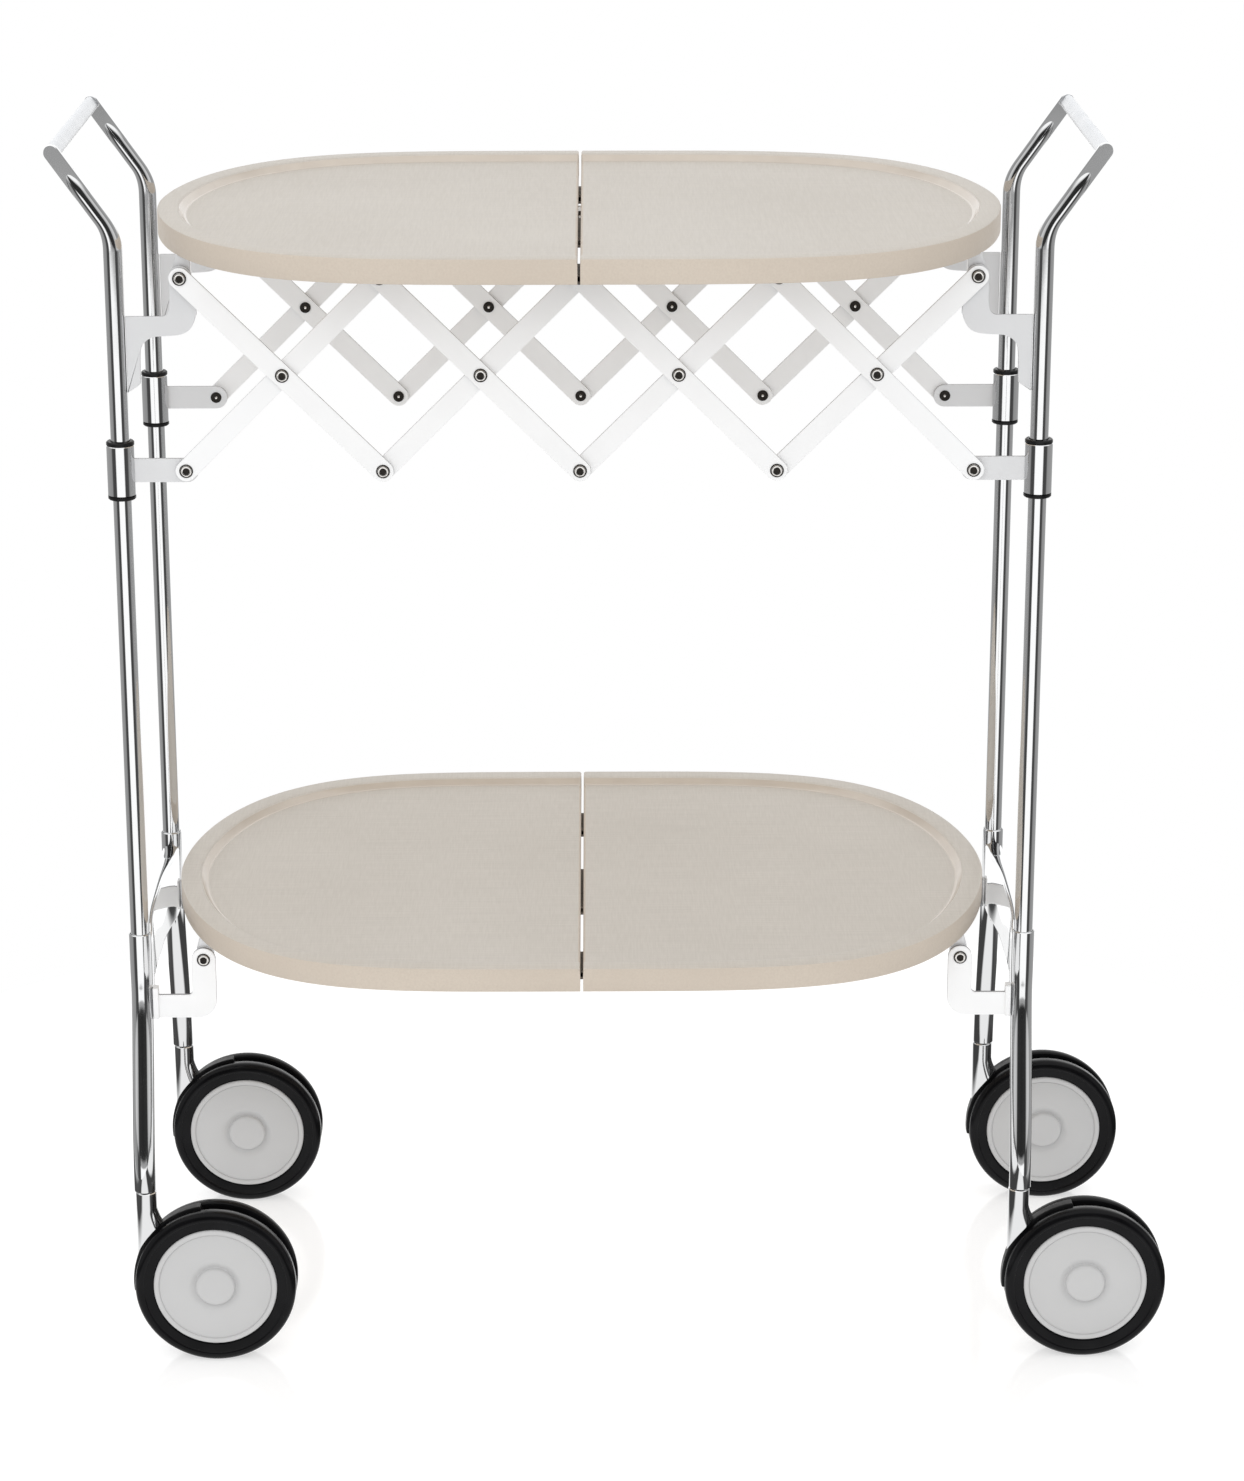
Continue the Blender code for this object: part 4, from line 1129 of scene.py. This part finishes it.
def tray_shell(sizes, pivot, name):
    """Model the left half of a tray: a moulded shell with a rim, cut at the slot."""
    low = pivot + sizes.tray_low
    high = low + sizes.tray_height
    floor = high - sizes.rim_step
    under = floor - sizes.floor_thickness
    rim = sizes.rim_width
    levels = [(UNDER_RIM, under), (0.0124, under - 0.0004), (0.012, low + 0.0003), (0.0117, low),
              (0.0012, low), (0.0004, low + 0.0003), (0, low + 0.0011), (0, high - 0.0014),
              (0.0004, high - 0.0005), (0.0014, high), (rim - 0.0012, high), (rim, high - 0.0002),
              (rim + 0.0009, high - 0.0009), (rim + 0.0036, floor + 0.0006), (rim + 0.0046, floor + 0.0001),
              (rim + 0.0056, floor)]
    piece = start_line(name, tray_outline(sizes, under))
    bpy.ops.mesh.edge_face_add()
    long, deep = sizes.tray_half_length, sizes.tray_half_depth
    stretch(((long - UNDER_RIM) / long, (deep - UNDER_RIM) / deep, 1), (SLOT_X, 0, 0))
    for (was, z_was), (now, z_now) in zip(levels, levels[1:]):
        carry((0, 0, z_now - z_was))
        stretch(((long - now) / (long - was), (deep - now) / (deep - was), 1), (SLOT_X, 0, 0))
    bpy.ops.mesh.select_all(action="SELECT")
    bpy.ops.mesh.bisect(plane_co=(SLOT_X - sizes.half_slot, 0, 0), plane_no=(1, 0, 0), use_fill=True,
                        clear_outer=True)
    return piece


def round_slot_edge(sizes, piece, floor_z):
    """Round a left tray half's top edges along the slot."""
    x = SLOT_X - sizes.half_slot
    choose_edges(piece, lambda a, b: (abs(a.x - x) < 0.00001 and abs(b.x - x) < 0.00001
                                      and min(a.z, b.z) > floor_z - 0.0001))
    bpy.ops.mesh.bevel(offset=sizes.slot_round, segments=4, affect="EDGES")


def knuckle(sizes, side, pivot, y_start, y_end):
    """Model a hinge knuckle with its leaf, beside and under a tray half's edge."""
    root = pivot + sizes.tray_low + sizes.tray_height - sizes.rim_step - sizes.floor_thickness / 2
    near = -(sizes.half_slot + sizes.gap)
    far = near - LEAF_LENGTH
    rise = pivot + sizes.hinge_rise
    radius = BARREL_RADIUS
    start = LEAF_SHOULDER_ANGLE
    line = [(far, root), (near, root), (near, rise + radius * math.sin(math.radians(start)))]
    line += arc((0, rise), radius, start, -90, 14)
    line += [(near - radius, rise - radius), (far, rise + radius)]
    part = start_plate("knuckle", [(SLOT_X - side * x, z) for x, z in line], y_start, y_end)
    soften(part, 0.0003, 2, 40)
    return close(part, finish("hinge"), 14)


def lug(sizes, side, depth, pivot):
    """Model a pivot lug under a tray half."""
    inner = lug_depth(sizes)
    centre = SLOT_X + side * sizes.half_span
    root = pivot + sizes.tray_low + LUG_ROOT
    line = [(centre - side * LUG_RADIUS, root), (centre + side * LUG_RADIUS * LUG_LEAN_SHARE, root)]
    line += [(centre - side * (x - centre), z) for x, z in arc((centre, pivot), LUG_RADIUS, 180, 360, 18)]
    part = start_plate("lug", line, depth * inner, depth * (inner + LUG_WIDTH))
    soften(part, PLATE_ROUND, 2, 40)
    return close(part, finish("plate"), 14)


def hinge_places(sizes):
    """Return the middle and the knuckle width of each hinge along the slot."""
    end = END_HINGE_SHARE * sizes.tray_half_depth
    return ((-end, END_KNUCKLE), (0, MIDDLE_KNUCKLE), (end, END_KNUCKLE))


def tray_fittings(sizes, side, pivot):
    """Model the lugs and hinge knuckles of a tray half, and the hinge pins on the left one."""
    parts = [lug(sizes, side, depth, pivot) for depth in (-1, 1)]
    for middle, width in hinge_places(sizes):
        if side > 0:
            parts.append(knuckle(sizes, side, pivot, middle - width / 2, middle + width / 2))
            continue
        for way in (-1, 1):
            start = middle + way * (width / 2 + sizes.gap)
            parts.append(knuckle(sizes, side, pivot, start, start + way * width))
        reach = 1.5 * width + sizes.gap
        parts.append(shank(SLOT_X, pivot + sizes.hinge_rise, middle - reach, middle + reach,
                           HINGE_PIN_RADIUS))
    return parts


def finish_tray(piece, floor, top):
    """Weave a tray half's floor and rim, keep the slope between them smooth and the rest plain."""
    for name in ("shell", "weave", "slope"):
        piece.data.materials.append(finish(name))
    paint(piece, lambda face: (abs(face.calc_center_median().z - floor) < 0.00002
                               and abs(face.normal.z) > 0.9), 1)
    paint(piece, lambda face: (face.calc_center_median().z > top - 0.0006
                               and abs(face.normal.z) > 0.5), 1)
    paint(piece, lambda face: (floor + 0.00002 < face.calc_center_median().z < top - 0.001
                               and abs(face.normal.z) > 0.05), 2)
    close(piece, finish("shell"), 33)


class TROLLEY_OT_trays(bpy.types.Operator):
    """Build both trays: rimmed halves with woven floors, lugs and hinge knuckles"""
    bl_idname = "trolley.trays"
    bl_label = "Trays"

    def execute(self, context):
        sizes = context.scene.trolley_sizes
        pivot = sizes.pivot_height
        top = pivot + sizes.tray_low + sizes.tray_height
        floor = top - sizes.rim_step
        left = tray_shell(sizes, pivot, "fine_upper_tray_left")
        round_slot_edge(sizes, left, floor)
        finish_tray(left, floor, top)
        right = mirrored(left, "fine_upper_tray_right", (-1, 1, 1))
        halves = [join([left] + tray_fittings(sizes, -1, pivot)),
                  join([right] + tray_fittings(sizes, 1, pivot))]
        drop = (0, 0, sizes.lower_pivot_height - pivot)
        for side, upper in zip(("left", "right"), halves):
            lower = moved(upper, "fine_lower_tray_" + side, drop)
            dress(upper, "upper_tray_" + side)
            dress(lower, "lower_tray_" + side)
        return {"FINISHED"}


# Casters

def axle_place(sizes):
    """Return the front left caster's axle."""
    x = SLOT_X - sizes.half_span - sizes.tube_offset + sizes.caster_inset + sizes.wheel_trail
    return Vector((x, -sizes.half_depth - sizes.leg_splay, sizes.wheel_radius))


def spread_casters(piece, pattern):
    """Copy a front left caster piece to the other casters, which all trail one way, and dress all four."""
    sizes = bpy.context.scene.trolley_sizes
    across = 2 * (sizes.half_span + sizes.tube_offset - sizes.caster_inset)
    back = 2 * (sizes.half_depth + sizes.leg_splay)
    made = [(piece, "front", "left")]
    for depth, side, step in (("front", "right", (across, 0, 0)), ("rear", "left", (0, back, 0)),
                              ("rear", "right", (across, back, 0))):
        made.append((moved(piece, "copy", step), depth, side))
    for one, depth, side in made:
        node = pattern.format(depth=depth, side=side)
        one.name = "fine_" + node
        dress(one, node)


class TROLLEY_OT_forks(bpy.types.Operator):
    """Build the bright caster stems that flare over the wheels"""
    bl_idname = "trolley.forks"
    bl_label = "Caster stems"

    def execute(self, context):
        sizes = context.scene.trolley_sizes
        axle = axle_place(sizes)
        stem_x = axle.x - sizes.wheel_trail
        top = sizes.leg_foot - sizes.gap
        pin_top = top + SWIVEL_PIN_LENGTH
        pin = SWIVEL_PIN_RADIUS
        piece = start_disc("fine_front_left_fork", (stem_x, axle.y, pin_top), pin, sizes.steps)
        radius = sizes.fork_radius
        rings = [(pin_top, pin, pin), (top, pin, pin), (top, radius - STEM_ROUND, radius - STEM_ROUND),
                 (top - STEM_ROUND, radius, radius)]
        neck = top - STEM_NECK
        steps = 22
        for step in range(steps + 1):
            share = step / steps
            z = neck + (axle.z - neck) * share
            wide = radius + STEM_FLARE * share ** STEM_FLARE_POWER
            rings.append((z, wide, radius + STEM_DEEPENING * min(1, 2 * share)))
        stations = [(Vector((stem_x + max(0, wide - radius), axle.y, z)), wide, deep, 0)
                    for z, wide, deep in rings]
        sweep(stations)
        close(piece, finish("chrome"), 26)
        hood = HOOD_RADIUS + sizes.gap
        reach = 0.03
        line = [(0, -reach), (hood, -reach), (hood, reach), (0, reach)]
        tool = start_turned("hood_tool", line, axle, Y_AXIS, 160)
        bpy.ops.mesh.normals_make_consistent(inside=False)
        cut_away(piece, tool)
        soften(piece, 0.0003, 2, 50)
        close(piece, finish("chrome"))
        spread_casters(piece, "{depth}_{side}_fork")
        return {"FINISHED"}


class TROLLEY_OT_hoods(bpy.types.Operator):
    """Build the black webs between the wheels with their axles"""
    bl_idname = "trolley.hoods"
    bl_label = "Caster hoods"

    def execute(self, context):
        sizes = context.scene.trolley_sizes
        axle = axle_place(sizes)
        centre = (axle.x, axle.z)
        outline = arc(centre, HOOD_RADIUS, 100, 187, 40) + arc(centre, BOSS_RADIUS, 247, 400, 18)
        piece = start_plate("fine_front_left_hood", outline, axle.y - HOOD_HALF_WIDTH,
                            axle.y + HOOD_HALF_WIDTH)
        soften(piece, 0.0008, 2, 40)
        close(piece, finish("black"), 14)
        line = [(0, -AXLE_REACH), (AXLE_RADIUS, -AXLE_REACH), (AXLE_RADIUS, AXLE_REACH), (0, AXLE_REACH)]
        pin = close(start_turned("axle", line, axle, Y_AXIS, 32), finish("rivet"), 40)
        spread_casters(join([piece, pin]), "{depth}_{side}_hood")
        return {"FINISHED"}


# Profiles of a wheel: distance from the axle, and distance outwards from the caster's middle
TYRE = ((0.0388, 0.0052), (0.0520, 0.0046), (0.0538, 0.0047), (0.0549, 0.0052), (0.0555, 0.0061),
        (0.0555, 0.0104), (0.0553, 0.0115), (0.0547, 0.0127), (0.0537, 0.0137), (0.0524, 0.0144),
        (0.0510, 0.01475), (0.0500, 0.01465), (0.0494, 0.0143), (0.0490, 0.0138), (0.0440, 0.0129),
        (0.0431, 0.0127), (0.0427, 0.0123), (0.0427, 0.0110), (0.0388, 0.0110))
DISC = ((0, 0.0123), (0.0042, 0.0123), (0.0042, 0.0054), (0.0412, 0.0054), (0.0424, 0.0100),
        (0.0425, 0.0127), (0.0423, 0.0133), (0.0418, 0.0137), (0.0412, 0.0138), (0.0396, 0.01375),
        (0.0391, 0.0135), (0.0388, 0.0128), (0.0386, 0.0127), (0.0384, 0.0130), (0.0380, 0.0132),
        (0.0200, 0.0132), (0.0184, 0.0130), (0.0170, 0.0125), (0.0157, 0.0118), (0.0147, 0.0113),
        (0.0141, 0.0112), (0.0137, 0.0115), (0.0135, 0.0124), (0.0133, 0.0135), (0.0128, 0.0142),
        (0.0118, 0.0145), (0.0100, 0.01465), (0, 0.0147))


class TROLLEY_OT_wheels(bpy.types.Operator):
    """Build the twin wheels: glossy black rings round light grey discs"""
    bl_idname = "trolley.wheels"
    bl_label = "Wheels"

    def execute(self, context):
        sizes = context.scene.trolley_sizes
        axle = axle_place(sizes)
        for way, label in ((-1, "a"), (1, "b")):
            out = Vector((0, way, 0))
            name = "fine_front_left_wheel_" + label
            tyre = close(start_turned(name, list(TYRE), axle, out, 128, closed=True), finish("tyre"), 40)
            disc = close(start_turned("disc", list(DISC), axle, out, 128), finish("disc"), 40)
            spread_casters(join([tyre, disc]), "{depth}_{side}_wheel_" + label)
        return {"FINISHED"}


# Studio

# What bright metal sees around it: stops (position, level), where 0 is in front and 1 behind
FLAGS = ((0.20, 0.05), (0.345, 0.06), (0.40, 0.26), (0.76, 0.34), (0.84, 1.0))
BELOW = ((0.0, 1.0), (0.165, 1.0)) + FLAGS
LEVEL = ((0.0, 0.32), (0.165, 0.32)) + FLAGS
ABOVE = ((0.0, 0.02), (0.25, 0.03), (0.30, 0.45), (0.45, 0.62), (0.52, 0.25), (0.76, 0.34), (0.84, 1.0))
OVERHEAD = (0.95, 0.95, 0.95, 1)
SOFT_LIGHT = (0.84, 0.84, 0.84, 1)
WHITE = (1, 1, 1, 1)
METAL_GLOW = (1.22, 1.22, 1.22, 1)
# Dark strips that bright metal sees on the floor, by the distance from the slot
FLOOR_STRIPS = ((0.0, 0.06), (0.09, 0.06), (0.14, 1.0), (0.46, 1.0), (0.51, 0.06), (0.64, 0.10),
                (0.74, 0.7))
CAMERA_PLACE = (SLOT_X + 0.00781, -2.64511, 1.24367)
CAMERA_PITCH = math.pi / 2 - 0.30755
CAMERA_TURN = -0.00771
CAMERA_ROLL = -0.00084
SENSOR = 36
FOCAL_PIXELS = 3968.98
LONG_SIDE_PIXELS = 1481


def studio_world():
    """Light the trolley evenly, and let bright metal see the panels and dark flags of a studio."""
    world = bpy.data.worlds.new("studio")
    bpy.context.scene.world = world
    world.use_nodes = True
    nodes, links = world.node_tree.nodes, world.node_tree.links
    nodes.clear()

    def mix(factor, first, second):
        made = nodes.new("ShaderNodeMixRGB")
        links.new(factor, made.inputs["Fac"])
        for socket, value in (("Color1", first), ("Color2", second)):
            if isinstance(value, tuple):
                made.inputs[socket].default_value = value
            else:
                links.new(value, made.inputs[socket])
        return made.outputs["Color"]

    way = nodes.new("ShaderNodeSeparateXYZ")
    links.new(nodes.new("ShaderNodeTexCoord").outputs["Generated"], way.inputs["Vector"])
    front = add_math(nodes, links, "MULTIPLY", way.outputs["Y"], -1)
    angle = add_math(nodes, links, "ARCTAN2", way.outputs["X"], front)
    around = add_math(nodes, links, "DIVIDE", add_math(nodes, links, "ABSOLUTE", angle), math.pi)
    panels = add_ramp(nodes, links, around, BELOW)
    level = add_ramp(nodes, links, around, LEVEL)
    above = add_ramp(nodes, links, around, ABOVE)
    for start, end, higher in ((-0.192, -0.178, level), (-0.15, -0.12, above), (0.55, 0.75, OVERHEAD)):
        rise = nodes.new("ShaderNodeMapRange")
        links.new(way.outputs["Z"], rise.inputs["Value"])
        rise.inputs["From Min"].default_value = start
        rise.inputs["From Max"].default_value = end
        panels = mix(rise.outputs["Result"], panels, higher)
    path = nodes.new("ShaderNodeLightPath")
    seen = mix(path.outputs["Is Glossy Ray"], SOFT_LIGHT, panels)
    seen = mix(path.outputs["Is Camera Ray"], seen, WHITE)
    background = nodes.new("ShaderNodeBackground")
    links.new(seen, background.inputs["Color"])
    links.new(mix(path.outputs["Is Glossy Ray"], WHITE, METAL_GLOW), background.inputs["Strength"])
    links.new(background.outputs["Background"], nodes.new("ShaderNodeOutputWorld").inputs["Surface"])


def add_lamp(name, place, target, size, power):
    """Add a soft square lamp that lights without showing in the metal."""
    leave()
    bpy.ops.object.light_add(type="AREA", location=place)
    lamp = bpy.context.object
    lamp.name = name
    lamp.data.shape = "SQUARE"
    lamp.data.size = size
    lamp.data.energy = power
    lamp.rotation_euler = (Vector(target) - Vector(place)).to_track_quat("-Z", "Y").to_euler()
    lamp.visible_glossy = False
    lamp.visible_camera = False


class TROLLEY_OT_studio(bpy.types.Operator):
    """Build the pale floor, the soft light and the camera"""
    bl_idname = "trolley.studio"
    bl_label = "Studio"

    def lay_strips(self, made):
        """Let bright metal see dark strips on the floor beside each pair of legs."""
        nodes, links = made.nodes, made.links
        place = nodes.new("ShaderNodeSeparateXYZ")
        links.new(made.place, place.inputs["Vector"])
        aside = add_math(nodes, links, "SUBTRACT", place.outputs["X"], SLOT_X)
        away = add_math(nodes, links, "ABSOLUTE", aside)
        glow = nodes.new("ShaderNodeEmission")
        links.new(add_ramp(nodes, links, away, FLOOR_STRIPS), glow.inputs["Color"])
        both = nodes.new("ShaderNodeMixShader")
        links.new(nodes.new("ShaderNodeLightPath").outputs["Is Glossy Ray"], both.inputs["Fac"])
        links.new(made.shader.outputs["BSDF"], both.inputs[1])
        links.new(glow.outputs["Emission"], both.inputs[2])
        links.new(both.outputs["Shader"], nodes["Material Output"].inputs["Surface"])

    def execute(self, context):
        floor = start_disc("studio_floor", (SLOT_X, 0, -0.0002), 0.75, 96)
        carry((0, 0, -0.01))
        made = Finish("studio floor", context.scene.trolley_colours.floor, 0.12)
        made.bumped(made.grain(40), 0.01, 0.0002)
        made.set("Emission Color", WHITE)
        made.set("Emission Strength", 0.55)
        self.lay_strips(made)
        close(floor, made.material)
        leave()
        studio_world()
        add_lamp("front_lamp", (SLOT_X - 0.5, -2.4, 1.9), (SLOT_X, 0, 0.45), 1.6, 19)
        bpy.ops.object.camera_add(location=CAMERA_PLACE)
        camera = context.object
        camera.data.sensor_width = SENSOR
        camera.data.lens = FOCAL_PIXELS * SENSOR / LONG_SIDE_PIXELS
        camera.rotation_mode = "QUATERNION"
        camera.rotation_quaternion = (Euler((CAMERA_PITCH, 0, CAMERA_TURN)).to_quaternion()
                                      @ Quaternion((0, 0, 1), CAMERA_ROLL))
        context.scene.camera = camera
        context.scene.view_settings.view_transform = "Standard"
        return {"FINISHED"}


class TROLLEY_PT_sidebar(bpy.types.Panel):
    """List the trolley's pieces, sizes and colours"""
    bl_label = "Serving trolley"
    bl_idname = "TROLLEY_PT_sidebar"
    bl_space_type = "VIEW_3D"
    bl_region_type = "UI"
    bl_category = "Trolley"

    def draw(self, context):
        for operator in PIECES:
            self.layout.operator(operator.bl_idname)
        for group in (context.scene.trolley_sizes, context.scene.trolley_colours):
            box = self.layout.box()
            for key in group.__annotations__:
                box.prop(group, key)


PIECES = (TROLLEY_OT_tubes, TROLLEY_OT_handle_bars, TROLLEY_OT_leg_castings, TROLLEY_OT_upper_brackets,
          TROLLEY_OT_lower_brackets, TROLLEY_OT_sleeves, TROLLEY_OT_lattices, TROLLEY_OT_trays,
          TROLLEY_OT_forks, TROLLEY_OT_hoods, TROLLEY_OT_wheels, TROLLEY_OT_studio)
CLASSES = (TrolleySizes, TrolleyColours) + PIECES + (TROLLEY_PT_sidebar,)


def register():
    for cls in CLASSES:
        bpy.utils.register_class(cls)
    bpy.types.Scene.trolley_sizes = PointerProperty(type=TrolleySizes)
    bpy.types.Scene.trolley_colours = PointerProperty(type=TrolleyColours)


def unregister():
    del bpy.types.Scene.trolley_colours
    del bpy.types.Scene.trolley_sizes
    for cls in reversed(CLASSES):
        bpy.utils.unregister_class(cls)


def main():
    """Build every piece and the studio."""
    register()
    bpy.ops.trolley.tubes()
    bpy.ops.trolley.handle_bars()
    bpy.ops.trolley.leg_castings()
    bpy.ops.trolley.upper_brackets()
    bpy.ops.trolley.lower_brackets()
    bpy.ops.trolley.sleeves()
    bpy.ops.trolley.lattices()
    bpy.ops.trolley.trays()
    bpy.ops.trolley.forks()
    bpy.ops.trolley.hoods()
    bpy.ops.trolley.wheels()
    bpy.ops.trolley.studio()


if __name__ == "__main__":
    main()
